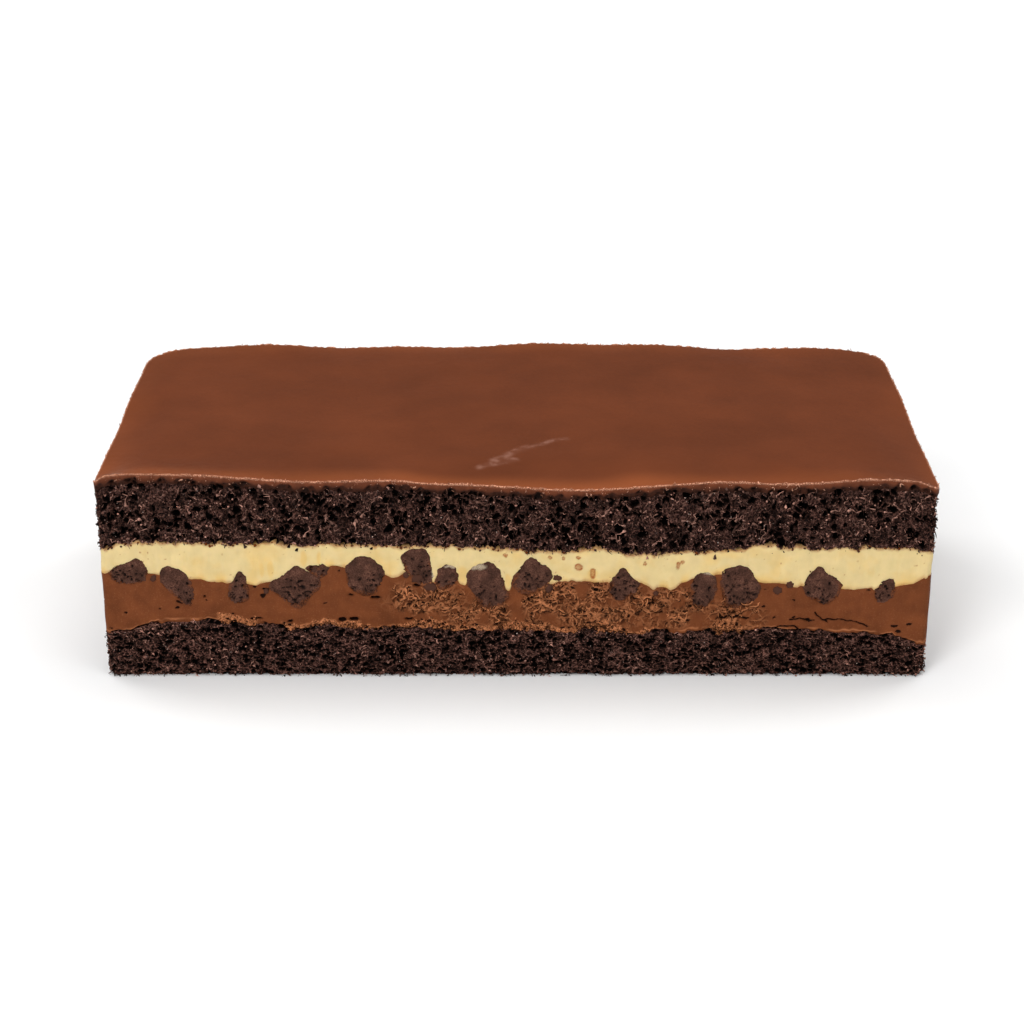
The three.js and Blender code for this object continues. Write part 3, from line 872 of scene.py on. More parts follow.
def mask(tree, name):
    """A mask that the mesh carries."""
    return add(tree, "ShaderNodeAttribute", attribute_name=name).outputs["Fac"]


def shared_group(name, inputs, outputs, build):
    """A shader node group, built once."""
    if name in bpy.data.node_groups:
        return bpy.data.node_groups[name]
    tree = bpy.data.node_groups.new(name, "ShaderNodeTree")
    for socket, kind in inputs.items():
        tree.interface.new_socket(socket, in_out="INPUT", socket_type=kind)
    for socket, kind in outputs.items():
        tree.interface.new_socket(socket, in_out="OUTPUT", socket_type=kind)
    ends = tree.nodes.new("NodeGroupInput"), tree.nodes.new("NodeGroupOutput")
    build(tree, ends[0].outputs, ends[1].inputs)
    return tree


FLOAT, VECTOR = "NodeSocketFloat", "NodeSocketVector"


def build_grain(tree, given, out):
    """Fills in the group of fine grain and mottling."""
    scale = worked(tree, "DIVIDE", 1.0, given["Size"])
    inputs = {"Vector": given["Vector"], "Scale": scale, "Detail": 4.0, "Roughness": 0.65}
    fine = add(tree, "ShaderNodeTexNoise", inputs=inputs)
    tree.links.new(fine.outputs["Fac"], out["Height"])
    inputs = {"Vector": given["Vector"], "Scale": worked(tree, "MULTIPLY", scale, 0.12), "Detail": 3.0}
    broad = add(tree, "ShaderNodeTexNoise", inputs=inputs)
    tree.links.new(broad.outputs["Fac"], out["Mottling"])


def grain(tree, size):
    """Fine grain of a given size, and mottling eight times as large."""
    group = shared_group(
        "Food grain", {"Vector": VECTOR, "Size": FLOAT}, {"Height": FLOAT, "Mottling": FLOAT}, build_grain
    )
    node = add(tree, "ShaderNodeGroup", node_tree=group)
    node.inputs["Size"].default_value = size
    tree.links.new(object_place(tree), node.inputs["Vector"])
    return node.outputs["Height"], node.outputs["Mottling"]


def build_web(tree, given, out):
    """Fills in the group of strands: the walls of bent cells."""
    scale = worked(tree, "DIVIDE", 1.0, given["Size"])
    inputs = {"Vector": given["Vector"], "Scale": scale, "Detail": 1.0}
    push = add(tree, "ShaderNodeTexNoise", inputs=inputs).outputs["Color"]
    reach = worked(tree, "MULTIPLY", given["Size"], given["Bend"])
    pushed = add(tree, "ShaderNodeVectorMath", operation="SCALE", inputs={0: push, "Scale": reach}).outputs[0]
    inputs = {0: given["Vector"], 1: pushed}
    place = add(tree, "ShaderNodeVectorMath", operation="ADD", inputs=inputs).outputs[0]
    inputs = {"Vector": place, "Scale": scale}
    edge = add(tree, "ShaderNodeTexVoronoi", feature="DISTANCE_TO_EDGE", inputs=inputs).outputs["Distance"]
    tree.links.new(remapped(tree, edge, 0.0, 0.18, 1.0, 0.0), out["Strands"])


def web(tree, size, bend=0.9, drop=0.0, flat=1.0):
    """A web of thin strands round cells of a given size, bent by a share of that size.

    It can be set lower by a drop, and its cells can be flatter than wide."""
    inputs = {"Vector": VECTOR, "Size": FLOAT, "Bend": FLOAT}
    group = shared_group("Crumb web", inputs, {"Strands": FLOAT}, build_web)
    inputs = {0: object_place(tree), 1: (1, 1, flat), 2: (0, 0, drop)}
    place = add(tree, "ShaderNodeVectorMath", operation="MULTIPLY_ADD", inputs=inputs).outputs[0]
    inputs = {"Vector": place, "Size": size, "Bend": bend}
    return add(tree, "ShaderNodeGroup", node_tree=group, inputs=inputs).outputs["Strands"]


def object_place(tree):
    """A point's place on the cake."""
    return add(tree, "ShaderNodeTexCoord").outputs["Object"]


def opaque(colour_value):
    """A setting's colour, as a shader takes it."""
    return (*colour_value, 1.0)


def scaled_colour(colour_value, factor):
    """A setting's colour made lighter or darker, as a shader takes it."""
    return (*(min(factor * part, 1.0) for part in colour_value), 1.0)


def new_material(name, specular, **constants):
    """A material with a Principled shader, and its node tree."""
    material = bpy.data.materials.new(name)
    material.use_nodes = True
    tree = material.node_tree
    shader = tree.nodes["Principled BSDF"]
    shader.inputs["Specular IOR Level"].default_value = specular
    for socket, value in constants.items():
        shader.inputs[socket.replace("_", " ")].default_value = value
    return material, tree, shader


def bumped(tree, shader, height, strength, distance):
    """Lets a height roughen a shader's surface."""
    inputs = {"Height": height, "Strength": strength, "Distance": distance}
    bump = add(tree, "ShaderNodeBump", inputs=inputs)
    tree.links.new(bump.outputs["Normal"], shader.inputs["Normal"])


def mottled(tree, shade, mottling, spread):
    """A colour made lighter and darker by mottling."""
    inputs = {"Color": shade, "Value": remapped(tree, mottling, 0.3, 0.7, 1 - spread, 1 + spread)}
    return add(tree, "ShaderNodeHueSaturation", inputs=inputs).outputs[0]


def sponge_material(name, settings, crumb, fuzz, brightness):
    """Dark crumb: a net of thin strands lightened as painted highlight over hollows darkened to near black as
    painted shade, with small moist glints.
    """
    material, tree, shader = new_material(name, specular=0.03, Coat_Roughness=0.18)
    height, mottling = grain(tree, 0.35 * MM)
    coarse = web(tree, 1.1 * crumb.cell, crumb.bend, flat=crumb.flat)
    fine = web(tree, 0.5 * crumb.cell, flat=crumb.flat)
    hollow = mask(tree, "hollow")
    strands = worked(tree, "MAXIMUM", coarse, worked(tree, "MULTIPLY", fine, fuzz))
    raised = remapped(tree, hollow, 0.1, 0.75, 1.0, 0.0)
    lit = worked(tree, "MULTIPLY", strands, raised)
    # Painted shade: the crumb darkens to near black with the depth of the hollows. Painted highlight: strands
    # on the raised parts take the rim colour.
    depth = remapped(tree, hollow, 0.1, 0.5, 0.0, 1.0)
    shade = mixed(tree, depth, scaled_colour(settings.crumb, brightness), opaque(settings.hollow))
    shade = mixed(tree, worked(tree, "POWER", lit, 1.3), shade, scaled_colour(settings.rim, brightness))
    tree.links.new(mottled(tree, shade, mottling, 0.45), shader.inputs["Base Color"])
    shader.inputs["Roughness"].default_value = 0.85
    moist = worked(tree, "MULTIPLY", lit, remapped(tree, height, 0.56, 0.64, 0.0, 1.0))
    tree.links.new(moist, shader.inputs["Coat Weight"])
    bumped(tree, shader, worked(tree, "ADD", height, worked(tree, "MULTIPLY", strands, 1.5)), 0.8, 0.3 * MM)
    return material


def mousse_material(settings):
    """Smooth mousse with torn lines lightened partly as painted highlight and painted shadows under them
    where the knife scraped it up, and painted shade in its cracks, holes and gaps.
    """
    material, tree, shader = new_material("Chocolate mousse", specular=0.06)
    height, mottling = grain(tree, 0.5 * MM)
    broken, patches = grain(tree, 1.6 * MM)
    scraped = mask(tree, "scraped")
    wanted = worked(tree, "MULTIPLY", scraped, remapped(tree, broken, 0.42, 0.5, 0.0, 1.0))
    # Painted shadow: the second web is the line web set lower, painted dark under each line.
    line, shadow = web(tree, 3.0 * MM), web(tree, 3.0 * MM, drop=0.45 * MM)
    fine = worked(tree, "MULTIPLY", web(tree, 0.9 * MM), remapped(tree, broken, 0.54, 0.6, 0.0, 0.6))
    line = worked(tree, "MAXIMUM", line, fine)
    torn = worked(tree, "MULTIPLY", wanted, remapped(tree, line, 0.45, 0.75, 0.0, 1.0))
    under = worked(tree, "MULTIPLY", wanted, remapped(tree, shadow, 0.4, 0.65, 0.0, 0.95))
    smooth = mottled(tree, opaque(settings.mousse), patches, 0.1)
    # Painted highlight: small lit specks in the grain take the scraped colour.
    smooth = mixed(tree, remapped(tree, height, 0.56, 0.68, 0.0, 0.15), smooth, opaque(settings.scraped))
    smooth = mixed(tree, worked(tree, "MULTIPLY", scraped, 0.62), smooth, scaled_colour(settings.mousse, 0.4))
    shade = mixed(tree, under, smooth, scaled_colour(settings.mousse, 0.08))
    # Painted highlight: the torn lines and the lit mask take the scraped colour.
    shade = mixed(tree, worked(tree, "MAXIMUM", torn, mask(tree, "lit")), shade, opaque(settings.scraped))
    crumbly, _ = grain(tree, 0.7 * MM)
    crumbly = remapped(tree, crumbly, 0.4, 0.58, 0.0, 1.0)
    flake = mixed(tree, crumbly, scaled_colour(settings.mousse, 0.5), opaque(settings.scraped))
    shade = mixed(tree, mask(tree, "flaked"), shade, flake)
    # Painted shade: the dark mask is painted near black.
    dark = remapped(tree, mask(tree, "dark"), 0.3, 0.65, 0.0, 1.0)
    shade = mixed(tree, dark, shade, scaled_colour(settings.mousse, 0.08))
    tree.links.new(mottled(tree, shade, mottling, 0.16), shader.inputs["Base Color"])
    tree.links.new(remapped(tree, height, 0.3, 0.7, 0.66, 0.5), shader.inputs["Roughness"])
    raised = worked(tree, "SUBTRACT", worked(tree, "MULTIPLY", torn, 2.0), under)
    bumped(tree, shader, worked(tree, "ADD", worked(tree, "MULTIPLY", height, 0.6), raised), 0.6, 0.25 * MM)
    return material


def cream_material(settings):
    """Pale cream that lets some light in, with brown stains."""
    material, tree, shader = new_material("Vanilla mousse", specular=0.25)
    shader.inputs["Subsurface Weight"].default_value = 0.2
    shader.inputs["Subsurface Radius"].default_value = (1.0, 0.7, 0.3)
    shader.inputs["Subsurface Scale"].default_value = 1.2 * MM
    height, mottling = grain(tree, 0.5 * MM)
    stain = worked(tree, "MULTIPLY", mask(tree, "stain"), remapped(tree, height, 0.3, 0.7, 0.5, 1.1))
    _, patches = grain(tree, 1.1 * MM)
    deep = worked(tree, "MAXIMUM", remapped(tree, patches, 0.5, 0.68, 0.0, 0.45), mask(tree, "deep"))
    shade = mixed(tree, deep, opaque(settings.cream), opaque(settings.deep_cream))
    shade = mixed(tree, stain, shade, opaque(settings.stain))
    tree.links.new(mottled(tree, shade, mottling, 0.06), shader.inputs["Base Color"])
    tree.links.new(remapped(tree, height, 0.3, 0.7, 0.55, 0.4), shader.inputs["Roughness"])
    bumped(tree, shader, height, 0.3, 0.15 * MM)
    return material


def ganache_material(settings):
    """Satin ganache with soft scuffs, painted sheen along its cut edges, a bright lip that is partly painted
    highlight, and a dark cut edge smeared with crumb, with painted shade in its hollows.
    """
    material, tree, shader = new_material("Ganache", specular=0.12)
    height, mottling = grain(tree, 3.2 * MM)
    fine, patches = grain(tree, 0.4 * MM)
    band = mask(tree, "band")
    hollow = mask(tree, "hollow")
    # Painted sheen: the top is lighter and more orange near its cut edges.
    top = mixed(tree, mask(tree, "near_edge"), opaque(settings.top), opaque(settings.near_edge))
    top = mottled(tree, top, mottling, 0.12)
    scuffed = worked(tree, "MULTIPLY", mask(tree, "scuff"), remapped(tree, patches, 0.42, 0.6, 0.15, 0.8))
    top = mixed(tree, scuffed, top, opaque(settings.scuff))
    lower_down = remapped(tree, band, 0.12, 0.45, 0.0, 1.0)
    cut = mixed(tree, lower_down, scaled_colour(settings.band, 1.35), scaled_colour(settings.band, 0.38))
    cut = mottled(tree, cut, patches, 0.3)
    # Painted shade: the hollows of the torn crumb on the cut edge are darkened almost to black.
    cut = mixed(tree, hollow, cut, scaled_colour(settings.band, 0.06))
    on_cut = remapped(tree, band, 0.02, 0.12, 0.0, 1.0)
    shade = mixed(tree, on_cut, top, cut)
    # Partly painted highlight: the burr along the lip takes the bright lip colour.
    burr = worked(tree, "MULTIPLY", mask(tree, "lip"), remapped(tree, fine, 0.46, 0.58, 0.05, 1.0))
    shade = mixed(tree, burr, shade, opaque(settings.edge))
    tree.links.new(shade, shader.inputs["Base Color"])
    satin = remapped(tree, height, 0.3, 0.7, 0.3, 0.42)
    satin = worked(tree, "ADD", satin, worked(tree, "MULTIPLY", scuffed, 0.2))
    rough_cut = remapped(tree, fine, 0.3, 0.7, 0.85, 0.5)
    tree.links.new(blended(tree, on_cut, satin, rough_cut), shader.inputs["Roughness"])
    relief = worked(tree, "MULTIPLY", fine, remapped(tree, band, 0.0, 0.1, 0.04, 1.0))
    bumped(tree, shader, relief, 0.5, 0.2 * MM)
    return material


def brownie_material(settings, mousse):
    """Dense matt brownie with fine pits darkened as painted shade and ridges lightened as painted highlight,
    coated with mousse at its edges and smeared with cream.
    """
    material, tree, shader = new_material("Brownie", specular=0.1)
    height, mottling = grain(tree, 0.4 * MM)
    strands = web(tree, 0.8 * MM)
    pit = mask(tree, "pit")
    # Painted highlight: the ridges of the web are lightened.
    ridges = worked(tree, "MULTIPLY", strands, remapped(tree, mottling, 0.4, 0.6, 0.1, 0.6))
    shade = mixed(tree, ridges, opaque(settings.flesh), scaled_colour(settings.flesh, 2.2))
    # Painted shade: the pits are painted near black.
    shade = mixed(tree, pit, shade, opaque(settings.pit))
    shade = mottled(tree, mottled(tree, shade, mottling, 0.3), height, 0.5)
    coated = worked(tree, "MULTIPLY", mask(tree, "coated"), remapped(tree, height, 0.42, 0.58, 0.1, 1.0))
    shade = mixed(tree, coated, shade, opaque(mousse))
    smear = worked(tree, "MULTIPLY", mask(tree, "smear"), remapped(tree, height, 0.35, 0.6, 0.4, 1.0))
    shade = mixed(tree, smear, shade, opaque(settings.smear))
    tree.links.new(shade, shader.inputs["Base Color"])
    tree.links.new(remapped(tree, height, 0.3, 0.7, 0.95, 0.7), shader.inputs["Roughness"])
    bumped(tree, shader, height, 0.6, 0.2 * MM)
    return material


def bits_material(name, dark, light, roughness):
    """Small loose bits, each of its own shade, darker on its lower side as painted shade, some with a moist
    glint.
    """
    material, tree, shader = new_material(name, specular=0.04, Coat_Roughness=0.15)
    height, _ = grain(tree, 0.3 * MM)
    shade = mixed(tree, mask(tree, "shade"), dark, light)
    tree.links.new(shade, shader.inputs["Base Color"])
    uneven = remapped(tree, height, 0.3, 0.7, roughness + 0.15, roughness - 0.15)
    tree.links.new(uneven, shader.inputs["Roughness"])
    tree.links.new(remapped(tree, mask(tree, "shade"), 0.8, 1.0, 0.0, 0.8), shader.inputs["Coat Weight"])
    bumped(tree, shader, height, 0.4, 0.1 * MM)
    return material


# ---- Small shapes that are scattered -------------------------------------------------------------


def as_arrays(bm):
    """Corners and triangles of a small shape, and how light each corner is."""
    bmesh.ops.triangulate(bm, faces=bm.faces)
    bmesh.ops.recalc_face_normals(bm, faces=bm.faces)
    bm.verts.index_update()
    corners = np.array([vert.co for vert in bm.verts])
    faces = np.array([[vert.index for vert in face.verts] for face in bm.faces])
    bm.free()
    return corners, faces, np.ones(len(corners))


def shadowed(shape, drop):
    """A shape with a dark twin behind its lower side, as a painted shadow."""
    corners, faces, light = shape
    twin = corners + np.array((0, -drop, -0.6 * drop))
    all_faces = np.concatenate([faces, faces + len(corners)])
    return np.concatenate([corners, twin]), all_faces, np.append(light, 0 * light)


def curl_shape(turn, thickness, seed, sides=3, steps=4):
    """A thin kinked shred, tapered to its ends, along an arc of radius 0.5 in the XY plane."""
    random = np.random.default_rng(seed)
    bm = bmesh.new()
    bmesh.ops.create_circle(bm, segments=sides, radius=thickness)
    bmesh.ops.rotate(bm, verts=bm.verts, matrix=Matrix.Rotation(math.radians(90), 3, "X"))
    bmesh.ops.translate(bm, verts=bm.verts, vec=(0.5, 0, 0))
    ring = bm.verts[:] + bm.edges[:]
    bmesh.ops.spin(bm, geom=ring, cent=(0, 0, 0), axis=(0, 0, 1), angle=turn, steps=steps, use_merge=False)
    bmesh.ops.holes_fill(bm, edges=[edge for edge in bm.edges if edge.is_boundary], sides=sides)
    kinks = random.uniform(-1, 1, (steps + 1, 3)) * (0.1, 0.1, 0.13) * turn
    halfway = Vector((0.5 * math.cos(turn / 2), 0.5 * math.sin(turn / 2), 0))
    for vert in bm.verts:
        step = round(math.atan2(vert.co.y, vert.co.x) % (2 * math.pi) / turn * steps) % (2 * steps + 1)
        step = min(step, steps)
        angle = turn * step / steps
        middle = Vector((0.5 * math.cos(angle), 0.5 * math.sin(angle), 0))
        taper = 0.4 + 0.8 * math.sin(math.pi * step / steps)
        vert.co = middle - halfway + Vector(kinks[step]) + (vert.co - middle) * taper
    return as_arrays(bm)


def strand_shape(thickness, seed, sides=3, steps=7):
    """A thin line about 1 long that wanders in the XY plane, tapered to its ends."""
    random = np.random.default_rng(seed)
    bm = bmesh.new()
    bmesh.ops.create_circle(bm, segments=sides, radius=0.4 * thickness)
    bmesh.ops.rotate(bm, verts=bm.verts, matrix=Matrix.Rotation(math.radians(90), 3, "Y"))
    heading, turning, middle, edges = 0.0, random.normal(0, 0.15), Vector((-0.5, 0, 0)), bm.edges[:]
    bmesh.ops.translate(bm, verts=bm.verts, vec=middle)
    for step in range(steps):
        verts, edges = drawn_out(bm, edges)
        stride = Vector((math.cos(heading), math.sin(heading), 0)) * random.uniform(0.6, 1.4) / steps
        bmesh.ops.translate(bm, verts=verts, vec=stride)
        middle += stride
        turn = turning + random.normal(0, 0.65)
        bmesh.ops.rotate(bm, verts=verts, cent=middle, matrix=Matrix.Rotation(turn, 3, "Z"))
        heading += turn
        girth = (1.6, 1.35)[step] if step < 2 else 0.45 if step == steps - 1 else random.uniform(0.85, 1.18)
        bmesh.ops.scale(bm, verts=verts, vec=(girth,) * 3, space=Matrix.Translation(-middle))
    bmesh.ops.holes_fill(bm, edges=[edge for edge in bm.edges if edge.is_boundary], sides=sides)
    return as_arrays(bm)


def crumb_shape(seed, detail, radius=0.5):
    """A small uneven lump."""
    random = np.random.default_rng(seed)
    bm = bmesh.new()
    bmesh.ops.create_icosphere(bm, subdivisions=detail, radius=radius)
    for vert in bm.verts:
        vert.co *= random.uniform(0.65, 1.1)
    bmesh.ops.smooth_vert(bm, verts=bm.verts, factor=0.3, use_axis_x=True, use_axis_y=True, use_axis_z=True)
    bmesh.ops.scale(bm, verts=bm.verts, vec=random.uniform(0.7, 1.2, 3))
    return as_arrays(bm)


def turned(places, random, tilt, spin=2 * math.pi):
    """Turns for shapes that lie on the cut faces, spun and tilted by up to two angles."""
    amount = len(places)
    out = with_level(outward(places))
    along = np.stack([-out[:, 1], out[:, 0], np.zeros(amount)], axis=-1)
    up = np.tile((0.0, 0.0, 1.0), (amount, 1))
    spin = random.uniform(-spin / 2, spin / 2, amount)
    lean = random.uniform(-tilt, tilt, amount)
    across = along * np.cos(spin)[:, None] + up * np.sin(spin)[:, None]
    other = -along * np.sin(spin)[:, None] + up * np.cos(spin)[:, None]
    leaned = other * np.cos(lean)[:, None] + out * np.sin(lean)[:, None]
    normal = out * np.cos(lean)[:, None] - other * np.sin(lean)[:, None]
    return np.stack([across, leaned, normal], axis=-1)


def joined(name, shapes, points, turns, sizes, shades, random):
    """Copies of a few shapes at points of the cake, joined in one mesh that stays in the bar."""
    picks = random.integers(0, len(shapes), len(points))
    all_corners, all_faces, all_shades, start = [], [], [], 0
    for pick, (corners, faces, light) in enumerate(shapes):
        chosen = picks == pick
        placed_corners = np.einsum("nij,vj->nvi", turns[chosen], corners) * sizes[chosen, None, None]
        placed_corners += points[chosen, None, :]
        amount = chosen.sum()
        all_corners.append(placed_corners.reshape(-1, 3))
        offsets = start + len(corners) * np.arange(amount)[:, None, None]
        all_faces.append((faces[None] + offsets).reshape(-1, 3))
        all_shades.append((shades[chosen, None] * light).reshape(-1))
        start += len(corners) * amount
    corners = np.clip(np.concatenate(all_corners), *CAD_BOX)
    mesh = bpy.data.meshes.new(name)
    mesh.from_pydata(corners.tolist(), [], np.concatenate(all_faces).tolist())
    # Painted shade: each copy is darker where its corners face down, and a shadow twin stays dark.
    upward = np.array([normal.vector.z for normal in mesh.vertex_normals])
    shade = np.concatenate(all_shades) * (0.1 + 0.9 * eased(upward, -0.7, 0.4))
    mesh.attributes.new("shade", "FLOAT", "POINT").data.foreach_set("value", shade)
    return mesh


def strewn(name, slot, look, *scatter):
    """Scatters shapes as one piece, its look a dark colour, a light colour and a roughness."""
    material = bits_material(name.replace("_", " ").capitalize(), *look)
    placed(joined(name, *scatter), name, material, slot)


class Ring:
    """The seams all the way round the cake, close enough to be read at any place."""

    def __init__(self):
        self.places = round_the_cake(0.5 * MM, 0.5 * MM)
        self.seams = {
            "floor": np.zeros(len(self.places)),
            "base": base_seam(self.places),
            "foot": cream_foot(self.places),
            "top": cream_top(self.places),
            "band": band_foot(self.places),
        }

    def scattered(self, amount, low, high, random, front_weight=1.6):
        """Random points on the cut faces between two seams, and how high up between them."""
        weights = np.where(on_front(self.places), front_weight, 1.0)
        picks = random.choice(len(self.places), amount, p=weights / weights.sum())
        rise = random.uniform(0, 1, amount)
        level = self.seams[low][picks] * (1 - rise) + self.seams[high][picks] * rise
        jitter = random.uniform(-0.25 * MM, 0.25 * MM, amount)
        out = outward(self.places[picks])
        along = np.stack([-out[:, 1], out[:, 0]], axis=-1)
        places = self.places[picks] + jitter[:, None] * along
        return np.concatenate([places, level[:, None]], axis=-1), picks


# ---- Operators -----------------------------------------------------------------------------------


class TUXEDO_OT_sponges(bpy.types.Operator):
    """Make the top sponge and the bottom sponge"""

    bl_idname = "tuxedo.sponges"
    bl_label = "Sponges"

    def execute(self, context):
        settings = context.scene.tuxedo.sponge
        places = round_the_cake(settings.front_column, settings.other_column)
        rows = settings.rows

        seams = np.zeros(len(places)), base_seam(places)
        net = bottom_crumb(settings)
        material = sponge_material("Bottom sponge", settings, net, fuzz=0.4, brightness=1.85)
        self.sponge("bottom_sponge", "sponge_bottom", places, seams, net, material, rows)

        seams = cream_top(places), band_foot(places)
        torn = top_crumb(settings)
        material = sponge_material("Top sponge", settings, torn, fuzz=0.5, brightness=1.15)
        self.sponge("top_sponge", "sponge_top", places, seams, torn, material, rows)
        return {"FINISHED"}

    def sponge(self, name, node, places, seams, crumb, material, rows):
        """One sponge between its two seams, its foot rounded where it stands."""
        low, high = seams
        points = wall_rows(places, low, high, rows)
        points[..., 2] = np.maximum(points[..., 2], 0)
        crushed_from = high if node == "sponge_bottom" else None
        depth, masks = sponge_relief(points, crumb, crushed_from)
        depth += tucked(points, low, high) + FOOT_ROUND * eased(-points[..., 2], -1.2 * MM, 0)
        finished(wrapped_wall(moved_in(points, depth), masks, node), name, material, "sponge", node)


class TUXEDO_OT_mousses(bpy.types.Operator):
    """Make the chocolate mousse and the vanilla mousse"""

    bl_idname = "tuxedo.mousses"
    bl_label = "Mousses"

    def execute(self, context):
        settings = context.scene.tuxedo.mousse
        places = round_the_cake(settings.front_column, settings.other_column)
        low, foot, top = base_seam(places), cream_foot(places), cream_top(places)

        points = wall_rows(places, low, foot, settings.mousse_rows)
        relief = mousse_relief(points, low)
        material = mousse_material(settings)
        self.mousse("chocolate_mousse_layer", "chocolate_mousse", points, relief, (low, foot), material)

        points = wall_rows(places, foot, top, settings.cream_rows)
        relief = cream_relief(points, foot, top)
        material = cream_material(settings)
        self.mousse("vanilla_mousse_layer", "vanilla_mousse", points, relief, (foot, top), material)
        return {"FINISHED"}

    def mousse(self, name, node, points, relief, seams, material):
        """One mousse between its two seams, sunk where the brownie pieces sit."""
        depth, masks = relief
        depth += tucked(points, *seams)
        depth = np.maximum(depth, pockets(points[..., :2], points[..., 2]))
        finished(wrapped_wall(moved_in(points, depth), masks, node), name, material, node, node)


class TUXEDO_OT_ganache(bpy.types.Operator):
    """Make the ganache with its lip and cut edge"""

    bl_idname = "tuxedo.ganache"
    bl_label = "Ganache"

    EDGE_PROBE = 1.1 * MM  # where the top's level is read, in from the cut faces
    LIP_INSET = 0.3 * MM
    CALMING = 60  # rounds of smoothing that take the solid's facets out of the top

    def top_level(self, places):
        """The solid's top over places, read clear of its rounded edge."""
        short = np.maximum(self.EDGE_PROBE - depth_in(places), 0)
        inside = np.where(short[:, None] > 0, drawn_in(places, short[:, None]), places)
        return levels("ganache", inside, upper=True)

    def closer_to_ends(self, amount, strength):
        """Numbers from -1 to 1 that stand closer together towards both."""
        return np.sin(np.linspace(-1, 1, amount + 1) * strength) / math.sin(strength)

    def top_points(self, settings):
        """The top: rows of columns of points over the solid's level, gently swollen."""
        across = self.closer_to_ends(settings.columns, 0.8)
        deep = self.closer_to_ends(settings.rows, 1.34)
        places = rounded(np.stack(np.meshgrid(across, deep), axis=-1) * HALF)
        places *= 1 - self.LIP_INSET / HALF
        level = self.top_level(places.reshape(-1, 2)).reshape(places.shape[:2])
        for _ in range(self.CALMING):
            around = level[:-2, 1:-1] + level[2:, 1:-1] + level[1:-1, :-2] + level[1:-1, 2:]
            level[1:-1, 1:-1] = around / 4
        points = np.concatenate([places, level[..., None]], axis=-1)
        ground = grounded(points)
        swell = 0.25 * MM * noise(ground, 34 * MM, 141) + 0.08 * MM * noise(ground, 11 * MM, 142)
        points[..., 2] += swell * eased(depth_in(places), 0.5 * MM, 12 * MM)
        return points

    def lip(self, places, height):
        """How high the ragged lip stands at places."""
        ground = with_level(places)
        ragged = 0.3 + 0.35 * noise(ground, 5 * MM, 145) + 0.6 * noise(ground, 1.1 * MM, 146)
        return height * np.clip(ragged, 0.05, 1.2)

    def scuffs(self, points):
        """1 on the pale scuffs of the top, fading to 0 beside them."""
        bent = curled(grounded(points), 6 * MM, 1.6 * MM, 148)[..., :2] / MM
        mask = np.zeros(points.shape[:-1])
        for start, end, half_width in GANACHE_SCUFFS:
            run = np.subtract(end, start)
            along = np.clip((bent - start) @ run / (run @ run), 0, 1)
            apart = np.linalg.norm(bent - start - along[..., None] * run, axis=-1)
            mask = np.maximum(mask, 1 - eased(apart, 0.2 * half_width, half_width))
        return mask

    def near_edge(self, points):
        """1 where painted sheen lightens the top along its cuts, most of all along the middle of the front,
        and less of it towards the two ends, the right most of all.
        """
        reach = 12 * MM + 4 * MM * noise(grounded(points), 20 * MM, 147)
        edge = 1 - eased(depth_in(points[..., :2]), 0, reach)
        edge *= 0.35 + 0.65 * eased(-points[..., 1], 40 * MM, 58 * MM)
        right, left = (eased(way * points[..., 0], 30 * MM, 75 * MM) for way in (1, -1))
        return edge * (1 - 0.6 * right - 0.2 * left)

    def execute(self, context):
        settings = context.scene.tuxedo.ganache
        bm = bmesh.new()
        bmesh.ops.create_grid(bm, x_segments=settings.columns, y_segments=settings.rows, size=0.5)
        layers = mask_layers(bm, ("band", "lip", "hollow", "near_edge", "scuff"))
        self.shape_top(bm, settings, layers)
        bmesh.ops.subdivide_edges(bm, edges=rim_edges(bm.verts), cuts=1)
        rim = [vert for vert in bm.verts if vert.is_boundary]
        self.shape_lip(rim, settings.lip, layers)

        edges = rim_edges(rim)
        for row in range(1, settings.band_rows + 1):
            verts, edges = drawn_out(bm, edges)
            self.shape_row(verts, row / settings.band_rows, layers, context.scene.tuxedo.sponge)
        close_level(bm, verts, core_level("ganache", upper=False))
        bmesh.ops.recalc_face_normals(bm, faces=bm.faces)
        finished(bm, "ganache_topping", ganache_material(settings), "ganache", "ganache")
        return {"FINISHED"}

    def shape_top(self, bm, settings, layers):
        """Carries a flat grid to the top's points."""
        points = self.top_points(settings)
        near_edge, scuffs = self.near_edge(points), self.scuffs(points)
        for vert in bm.verts:
            row = round((vert.co.y + 0.5) * settings.rows)
            column = round((vert.co.x + 0.5) * settings.columns)
            vert.co = points[row, column]
            vert[layers["near_edge"]] = near_edge[row, column]
            vert[layers["scuff"]] = scuffs[row, column]

    def shape_lip(self, rim, height, layers):
        """Lifts the rim of the top to its ragged lip."""
        places = moved_out(np.array([vert.co.xy for vert in rim]))
        ceiling = CAD_BOX[1][2]
        for vert, level in zip(rim, self.top_level(places) + self.lip(places, height)):
            vert.co.z = min(level, ceiling)
            vert[layers["lip"]] = 1.0

